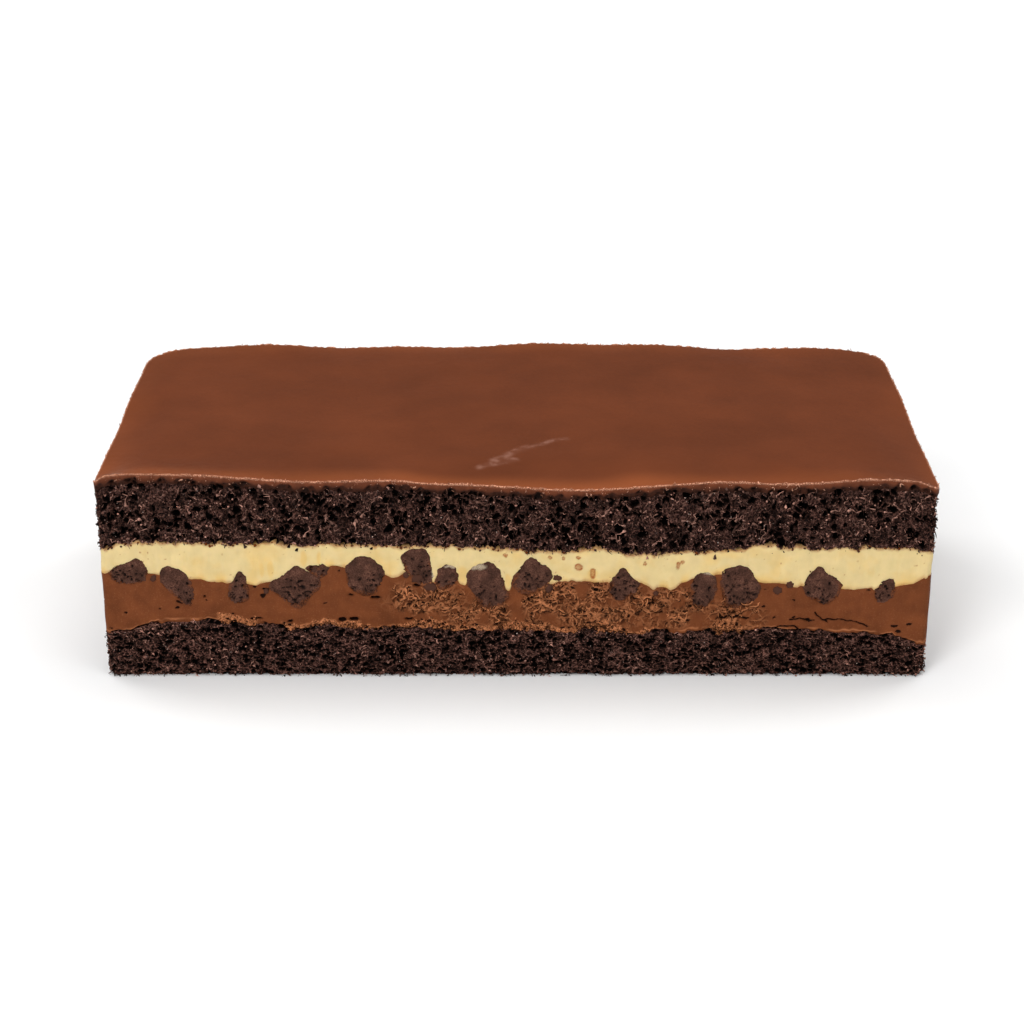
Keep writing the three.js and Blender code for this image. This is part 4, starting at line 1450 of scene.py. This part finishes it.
    def shape_row(self, verts, down, layers, sponge):
        """Places a row of the cut edge, a share of the way down it."""
        places = moved_out(np.array([vert.co.xy for vert in verts]))
        high, low = self.top_level(places), band_foot(places) - OVERLAP
        points = with_level(places)
        points[:, 2] = high * (1 - down) + low * down
        crumb, masks = sponge_relief(points, top_crumb(sponge))
        torn = eased(down + 0.35 * noise(grounded(points), 2.2 * MM, 149), 0.38, 0.95)
        smear = 0.22 * MM + 0.16 * MM * rough(points * (1, 1, 0.4), 1.1 * MM, 151)
        depth = smear * (1 - torn) + (crumb * 0.7 + 0.1 * MM) * torn
        depth += 0.8 * MM * eased(down, 0.93, 1.0)
        points = moved_in(points, np.maximum(depth, 0.05 * MM))
        band = np.clip(0.6 * down + 0.4 * torn, 0.12, 1)
        for vert, point, hollow, share_down in zip(verts, points, masks["hollow"] * torn, band):
            vert.co = point
            vert[layers["band"]] = share_down
            vert[layers["lip"]] = max(1 - 8.5 * down, 0)
            vert[layers["hollow"]] = hollow


class TUXEDO_OT_brownies(bpy.types.Operator):
    """Make the brownie pieces that the cuts show"""

    bl_idname = "tuxedo.brownies"
    bl_label = "Brownies"

    def execute(self, context):
        settings = context.scene.tuxedo.brownie
        material = brownie_material(settings, context.scene.tuxedo.mousse.mousse)
        for face in BROWNIES:
            name = face.node.replace("brownie_", "brownie_piece_")
            finished(self.shape(face, settings.faces), name, material, "brownie", face.node)
        return {"FINISHED"}

    def relief(self, points, seed):
        """Depth of a piece's cut face: fine grain, and pits that some pieces have more of."""
        own = points + seed * 17 * MM
        gap, number = cells(curled(own, 1.2 * MM, 0.5 * MM, 161), 0.95 * MM, 165)
        low_down = 0.15 * noise(own, 9 * MM, 168) - 0.06 * points[..., 1] / MM
        pits = eased(number + low_down, 0.66, 0.82) * eased(gap, 0.08 * MM, 0.32 * MM)
        depth = 0.2 * MM + 0.26 * MM * noise(own, 3.4 * MM, 171) + 0.17 * MM * rough(own, 1.1 * MM, 172)
        return depth + 0.7 * MM * pits, pits

    def shape(self, face, faces):
        """A piece: its cut face, and a plain tapered body behind it as deep as its solid."""
        bm = bmesh.new()
        bmesh.ops.create_grid(bm, x_segments=faces, y_segments=faces, size=1)
        layers = mask_layers(bm, ("pit", "smear", "coated"))
        square = np.array([vert.co.xy for vert in bm.verts])
        out_to = np.abs(square).max(axis=1)
        angle = np.arctan2(square[:, 1], square[:, 0])
        points, pits = self.cut_face(face, out_to, angle)
        smears = near_patches(curled(points, 1.2 * MM, 0.5 * MM, 178), CREAM_SMEARS)
        reach = (0.9 + 1.6 * noise(points, 2.6 * MM, 179) + 0.7 * noise(points, 0.9 * MM, 180)) * MM
        coated = 1 - eased((1 - out_to) * np.abs(face.radius(angle)), reach - 0.3 * MM, reach + 0.2 * MM)
        coated *= eased(face.centre[1] - points[:, 2], -2.5 * MM, 0.5 * MM)
        for vert, point, values in zip(bm.verts, points, zip(pits, smears, coated)):
            vert.co = point
            for layer, value in zip(layers.values(), values):
                vert[layer] = value
        verts = [vert for vert in bm.verts if vert.is_boundary]
        edges = rim_edges(verts)
        middle = np.array((*face.place(np.zeros(1), np.zeros(1))[0], face.centre[1]))
        inward = -np.array((*face.out, 0))
        last_size = 1.0
        for depth, size in ((1.4 * MM, 1.0), (0.75 * face.depth, 0.9), (face.depth, 0.7)):
            verts, edges = drawn_out(bm, edges)
            for vert in verts:
                point = np.array(vert.co) - middle
                point -= inward * (point @ inward)
                vert.co = middle + point * size / last_size + inward * depth
            last_size = size
        verts, _ = drawn_out(bm, edges)
        bmesh.ops.pointmerge(bm, verts=verts, merge_co=middle + inward * face.depth)
        bmesh.ops.recalc_face_normals(bm, faces=bm.faces)
        return bm

    def cut_face(self, face, out_to, angle):
        """Points of a piece's cut face, for shares of the way out to its rough outline."""
        radius = face.radius(angle)
        across, up = radius * np.cos(angle), radius * np.sin(angle)
        ground = np.stack([across, up, np.full(len(up), face.seed * 0.01)], axis=-1)
        radius = radius + 0.15 * MM + 0.5 * MM * noise(ground, 3.2 * MM, 174)
        radius = radius + 0.3 * MM * rough(ground, 1.2 * MM, 175)
        across, up = out_to * radius * np.cos(angle), out_to * radius * np.sin(angle)
        flat = np.stack([across, up, np.full(len(up), face.seed * 0.01)], axis=-1)
        depth, pits = self.relief(flat, face.seed)
        edge = (1 - out_to) * radius
        rim = 1 - eased(edge, 0, 0.8 * MM + 0.4 * MM * noise(flat, 1.6 * MM, 177))
        depth = np.maximum(depth + 0.6 * MM * rim**2, 0.03 * MM)
        places = face.place(across, depth)
        level = face.centre[1] + up
        return np.concatenate([places, level[:, None]], axis=-1), pits


# Mousse that the knife scraped up: the piece's name and seed, its shapes and how many of them, the
# smallest and the largest in millimetres, how far they are spun, the mask of the mousse that they
# keep to, and how few of them are light.
Scrapings = namedtuple("Scrapings", "name seed shapes amount sizes spin where fade")


class TUXEDO_OT_crumbs(bpy.types.Operator):
    """Scatter torn shreds, mousse curls and loose crumbs over the cut faces"""

    bl_idname = "tuxedo.crumbs"
    bl_label = "Crumbs"

    SHRED_TRIES = 3  # points tried for each shred that is kept
    SCRAPING_TRIES = 10

    # How far round an arc each kind of curl goes.
    SHRED_TURNS = [math.radians(turn) for turn in (35, 50, 70, 95, 130)]
    CURL_TURNS = [math.radians(turn) for turn in (35, 60, 95, 140)]
    FLECK_TURNS = [math.radians(turn) for turn in (50, 90, 140)]

    def execute(self, context):
        tuxedo = context.scene.tuxedo
        ring = Ring()
        crumbs, sponge = tuxedo.crumbs, tuxedo.sponge
        self.shreds("top_sponge_shreds", 201, crumbs.shreds, top_crumb(sponge), sponge, ring, "top", "band")
        net = bottom_crumb(sponge)
        self.shreds("bottom_sponge_shreds", 202, crumbs.fine_shreds, net, sponge, ring, "floor", "base")
        for scrapings in self.scrapings(crumbs):
            self.scraped_up(scrapings, tuxedo.mousse, ring)
        self.loose_crumbs(tuxedo, ring)
        self.flecks(tuxedo, ring)
        self.brownie_bits(tuxedo.brownie)
        self.glints(tuxedo, ring)
        return {"FINISHED"}

    def shreds(self, name, seed, amount, crumb, sponge, ring, low, high):
        """Thin torn walls and small lumps of crumb that stand out of a sponge, between its pores."""
        random = np.random.default_rng(seed)
        shapes = [curl_shape(turn, 0.055, seed + i) for i, turn in enumerate(self.SHRED_TURNS)]
        shapes += [crumb_shape(seed + i, 1, 0.15) for i in range(2)]
        points, picks = ring.scattered(self.SHRED_TRIES * amount, low, high, random, front_weight=2.2)
        crushed_from = ring.seams["base"][picks] if low == "floor" else None
        depth, masks = sponge_relief(points, crumb, crushed_from)
        chosen = np.flatnonzero(masks["hollow"] < random.uniform(0.1, 0.8, len(points)))[:amount]
        points = moved_in(points[chosen], np.clip(depth[chosen] - 0.2 * MM, 0.15 * MM, 0.9 * MM))
        turns = turned(points[:, :2], random, 0.8, 2 * math.pi if low == "top" else 1.6)
        sizes = random.uniform(1.0, 3.6, len(points)) * MM
        # Painted highlight: a few shreds get the rim colour made much lighter.
        shades = random.uniform(0, 1, len(points)) ** 4.5
        look = opaque(sponge.crumb), scaled_colour(sponge.rim, 5.5), 0.6
        strewn(name, "sponge", look, shapes, points, turns, sizes, shades, random)

    def glints(self, tuxedo, ring):
        """Tiny moist bits in the sponges, their pale colour a painted glint."""
        random = np.random.default_rng(251)
        shapes = [crumb_shape(80 + i, 1) for i in range(4)]
        half = tuxedo.crumbs.glints // 2
        seams = ("floor", "base"), ("top", "band")
        points = np.concatenate([ring.scattered(half, low, high, random)[0] for low, high in seams])
        points = moved_in(points, random.uniform(0.2, 0.6, len(points)) * MM)
        turns = turned(points[:, :2], random, 1.0)
        sizes = np.clip(random.exponential(0.12, len(points)) + 0.2, 0.2, 0.6) * MM
        shades = random.uniform(0, 1, len(points)) ** 3
        look = scaled_colour(tuxedo.sponge.rim, 1.6), opaque(tuxedo.sponge.glint), 0.35
        strewn("painted_glint_bits", "sponge", look, shapes, points, turns, sizes, shades, random)

    def scrapings(self, crumbs):
        """Torn lines, curls and flakes of mousse."""
        # The lines and curls each carry a painted shadow twin.
        lines = [shadowed(strand_shape(0.08, 300 + i), 0.11) for i in range(14)]
        curls = [shadowed(curl_shape(turn, 0.06, 20 + i), 0.13) for i, turn in enumerate(self.CURL_TURNS)]
        flakes = [crumb_shape(90 + i, 1) for i in range(5)]
        any_way = 2 * math.pi
        return (
            Scrapings("mousse_lines", 12, lines, crumbs.lines, (1.2, 4.6), 2.2, "scraped", 1.1),
            Scrapings("mousse_curls", 12, curls, crumbs.curls, (0.8, 2.4), any_way, "scraped", 1.1),
            Scrapings("mousse_flakes", 13, flakes, crumbs.flakes, (0.3, 0.9), 1.0, "flaked", 1.3),
        )

    def scraped_up(self, scrapings, mousse, ring):
        """Bits of mousse that the knife scraped up, where a mask of the mousse asks for them."""
        random = np.random.default_rng(scrapings.seed)
        amount = scrapings.amount
        tries = self.SCRAPING_TRIES * amount
        points, picks = ring.scattered(tries, "base", "foot", random, front_weight=2.5)
        base, foot = ring.seams["base"][picks], ring.seams["foot"][picks]
        depth, masks = mousse_relief(points, base)
        free = pockets(points[:, :2], points[:, 2]) < 0.1 * MM
        wanted = masks[scrapings.where] > random.uniform(0.2, 1, len(points))
        chosen = np.flatnonzero(wanted & free)[:amount]
        points, base, foot = points[chosen], base[chosen], foot[chosen]
        room = np.minimum(points[:, 2] - base, foot - points[:, 2])
        smallest, largest = scrapings.sizes
        sizes = (smallest + (largest - smallest) * random.uniform(0, 1, len(points)) ** 2) * MM
        sizes = np.minimum(sizes, 1.4 * MM + 2.2 * room)
        points = moved_in(points, np.clip(depth[chosen] - 0.06 * MM, 0.3 * MM, 0.8 * MM))
        turns = turned(points[:, :2], random, 0.25, scrapings.spin)
        shades = random.uniform(0, 1, len(points)) ** scrapings.fade
        # Painted shadow and highlight: the dark colour makes the shadow twins, the light one the lit
        # scrapings.
        look = scaled_colour(mousse.mousse, 0.12), scaled_colour(mousse.scraped, 1.45), 0.5
        name, shapes = scrapings.name, scrapings.shapes
        strewn(name, "chocolate_mousse", look, shapes, points, turns, sizes, shades, random)

    def loose_crumbs(self, tuxedo, ring):
        """Sponge crumbs that the knife dragged over the two mousses."""
        random = np.random.default_rng(221)
        shapes = [crumb_shape(i, 1) for i in range(6)] + [curl_shape(1.2, 0.13, 30 + i) for i in range(3)]
        points, picks = ring.scattered(tuxedo.crumbs.crumbs, "base", "top", random)
        near_top = random.uniform(0, 1, len(points)) < 0.95
        drop = random.exponential(0.32 * MM, len(points))
        points[near_top, 2] = (ring.seams["top"][picks] - drop + 0.25 * MM)[near_top]
        points = moved_in(points, np.full(len(points), 0.42 * MM))
        turns = turned(points[:, :2], random, 1.0)
        sizes = np.clip(random.exponential(0.3, len(points)) + 0.25, 0.25, 1.4)
        sizes = sizes * np.where(near_top, 1, 0.6) * MM
        shades = random.uniform(0, 1, len(points))
        look = scaled_colour(tuxedo.sponge.rim, 0.25), scaled_colour(tuxedo.mousse.stain, 0.7), 0.6
        strewn("loose_crumbs", "sponge", look, shapes, points, turns, sizes, shades, random)

    def flecks(self, tuxedo, ring):
        """Flecks of ganache that the knife left along the lip."""
        random = np.random.default_rng(231)
        shapes = [curl_shape(turn, 0.12, 40 + i) for i, turn in enumerate(self.FLECK_TURNS)]
        points, _ = ring.scattered(tuxedo.crumbs.flecks, "band", "band", random, front_weight=2)
        near = points[:, :2] - 1.1 * MM * outward(points[:, :2])
        at_lip = random.uniform(0, 1, len(points)) < 0.6
        drop = np.where(at_lip, 0.0, random.uniform(0.3, 2.4, len(points))) * MM
        points[:, 2] = levels("ganache", near, upper=True) - drop + 0.1 * MM
        points = moved_in(points, random.uniform(0.1, 0.35, len(points)) * MM)
        turns = turned(points[:, :2], random, 0.8)
        sizes = np.clip(random.exponential(0.35, len(points)) + 0.35, 0.35, 1.5) * MM
        shades = random.uniform(0.2, 1, len(points))
        # Partly painted highlight: the flecks take colours up to the lip's bright colour.
        look = opaque(tuxedo.ganache.band), opaque(tuxedo.ganache.edge), 0.45
        strewn("ganache_flecks", "ganache", look, shapes, points, turns, sizes, shades, random)

    def brownie_bits(self, brownie):
        """Small bits of brownie that broke off the larger pieces."""
        random = np.random.default_rng(241)
        shapes = [crumb_shape(60 + i, 3) for i in range(4)]
        rows = np.array(BROWNIE_BITS) * MM
        places = np.stack([rows[:, 0], np.full(len(rows), -HALF[1])], axis=-1)
        points = moved_in(np.concatenate([places, rows[:, 1:2]], axis=-1), 0.22 * rows[:, 2] + 0.3 * MM)
        turns = turned(points[:, :2], random, 0.3)
        shades = np.full(len(rows), 0.5)
        look = opaque(brownie.flesh), scaled_colour(brownie.flesh, 1.3), 0.85
        strewn("brownie_bits", "brownie", look, shapes, points, turns, rows[:, 2], shades, random)


class TUXEDO_OT_stage(bpy.types.Operator):
    """Set up the floor, the lights and the camera"""

    bl_idname = "tuxedo.stage"
    bl_label = "Stage"

    # Each light: its place, what it points at, its width, its power and its spread in degrees.
    LIGHTS = {
        "key": ((-0.5, -1.0, 0.85), (0, 0, 0.03), 0.5, 9.0, 180),
        "fill": ((0.8, -0.8, 0.6), (0, 0, 0.03), 0.8, 2.5, 180),
        "overhead": ((0.0, 0.0, 1.3), (0, 0, 0.03), 1.0, 6.0, 180),
        "back left": ((-1.0, 0.7, 1.2), (0, 0, 0.03), 0.8, 7.0, 180),
        "back right": ((1.0, 0.7, 1.2), (0, 0, 0.03), 0.8, 7.0, 180),
        "far floor": ((0.0, 1.25, 1.0), (0, 1.3, 0), 0.9, 2.0, 60),
    }

    def execute(self, context):
        settings = context.scene.tuxedo.stage
        scene = context.scene
        self.floor(scene, settings)
        for name, (place, aim, width, power, spread) in self.LIGHTS.items():
            self.light(scene, name, Vector(place), Vector(aim), width, power, spread)
        self.surroundings(scene)
        camera = bpy.data.objects.new("camera", bpy.data.cameras.new("camera"))
        camera.location = (-settings.camera_aside, -settings.camera_distance, settings.camera_height)
        camera.rotation_euler = (math.radians(90) - settings.camera_down, 0, 0)
        camera.data.lens = settings.lens
        scene.collection.objects.link(camera)
        scene.camera = camera
        scene.view_settings.view_transform = "Standard"
        return {"FINISHED"}

    def floor(self, scene, settings):
        """A wide plain floor."""
        bm = bmesh.new()
        bmesh.ops.create_grid(bm, x_segments=1, y_segments=1, size=6)
        mesh = bpy.data.meshes.new("floor")
        bm.to_mesh(mesh)
        bm.free()
        material, _, shader = new_material("Pale floor", specular=0.1)
        shader.inputs["Base Color"].default_value = opaque(settings.floor)
        shader.inputs["Roughness"].default_value = 0.9
        mesh.materials.append(material)
        floor = bpy.data.objects.new("floor", mesh)
        scene.collection.objects.link(floor)

    def light(self, scene, name, place, aim, width, power, spread):
        """A soft square lamp that points at its aim."""
        data = bpy.data.lights.new(name, "AREA")
        data.shape = "SQUARE"
        data.size = width
        data.energy = power
        data.spread = math.radians(spread)
        lamp = bpy.data.objects.new(name, data)
        lamp.location = place
        lamp.rotation_euler = (aim - place).to_track_quat("-Z", "Y").to_euler()
        scene.collection.objects.link(lamp)

    def surroundings(self, scene):
        """White to the camera, and a dimmer even light for everything else."""
        world = bpy.data.worlds.new("surroundings")
        world.use_nodes = True
        tree = world.node_tree
        seen = add(tree, "ShaderNodeLightPath").outputs["Is Camera Ray"]
        background = tree.nodes["Background"]
        background.inputs["Color"].default_value = (1, 1, 1, 1)
        way = add(tree, "ShaderNodeTexCoord").outputs["Generated"]
        upward = add(tree, "ShaderNodeSeparateXYZ", inputs={0: way}).outputs["Z"]
        dome = remapped(tree, upward, 0.6, 0.95, 0.12, 0.6)
        strength = worked(tree, "MAXIMUM", seen, dome)
        tree.links.new(strength, background.inputs["Strength"])
        scene.world = world


OPERATORS = (
    TUXEDO_OT_sponges,
    TUXEDO_OT_mousses,
    TUXEDO_OT_ganache,
    TUXEDO_OT_brownies,
    TUXEDO_OT_crumbs,
    TUXEDO_OT_stage,
)


class TUXEDO_PT_panel(bpy.types.Panel):
    """Lists what the cake is made of"""

    bl_idname = "TUXEDO_PT_panel"
    bl_label = "Tuxedo Cake"
    bl_space_type = "VIEW_3D"
    bl_region_type = "UI"
    bl_category = "Tuxedo Cake"

    def draw(self, context):
        for operator in OPERATORS:
            self.layout.operator(operator.bl_idname)


CLASSES = (
    SpongeSettings,
    MousseSettings,
    GanacheSettings,
    BrownieSettings,
    CrumbSettings,
    StageSettings,
    CakeSettings,
    *OPERATORS,
    TUXEDO_PT_panel,
)


def register():
    for kind in CLASSES:
        bpy.utils.register_class(kind)
    bpy.types.Scene.tuxedo = PointerProperty(type=CakeSettings)


def unregister():
    del bpy.types.Scene.tuxedo
    for kind in reversed(CLASSES):
        bpy.utils.unregister_class(kind)


def main():
    register()
    bpy.ops.tuxedo.sponges()
    bpy.ops.tuxedo.mousses()
    bpy.ops.tuxedo.ganache()
    bpy.ops.tuxedo.brownies()
    bpy.ops.tuxedo.crumbs()
    bpy.ops.tuxedo.stage()


if __name__ == "__main__":
    main()
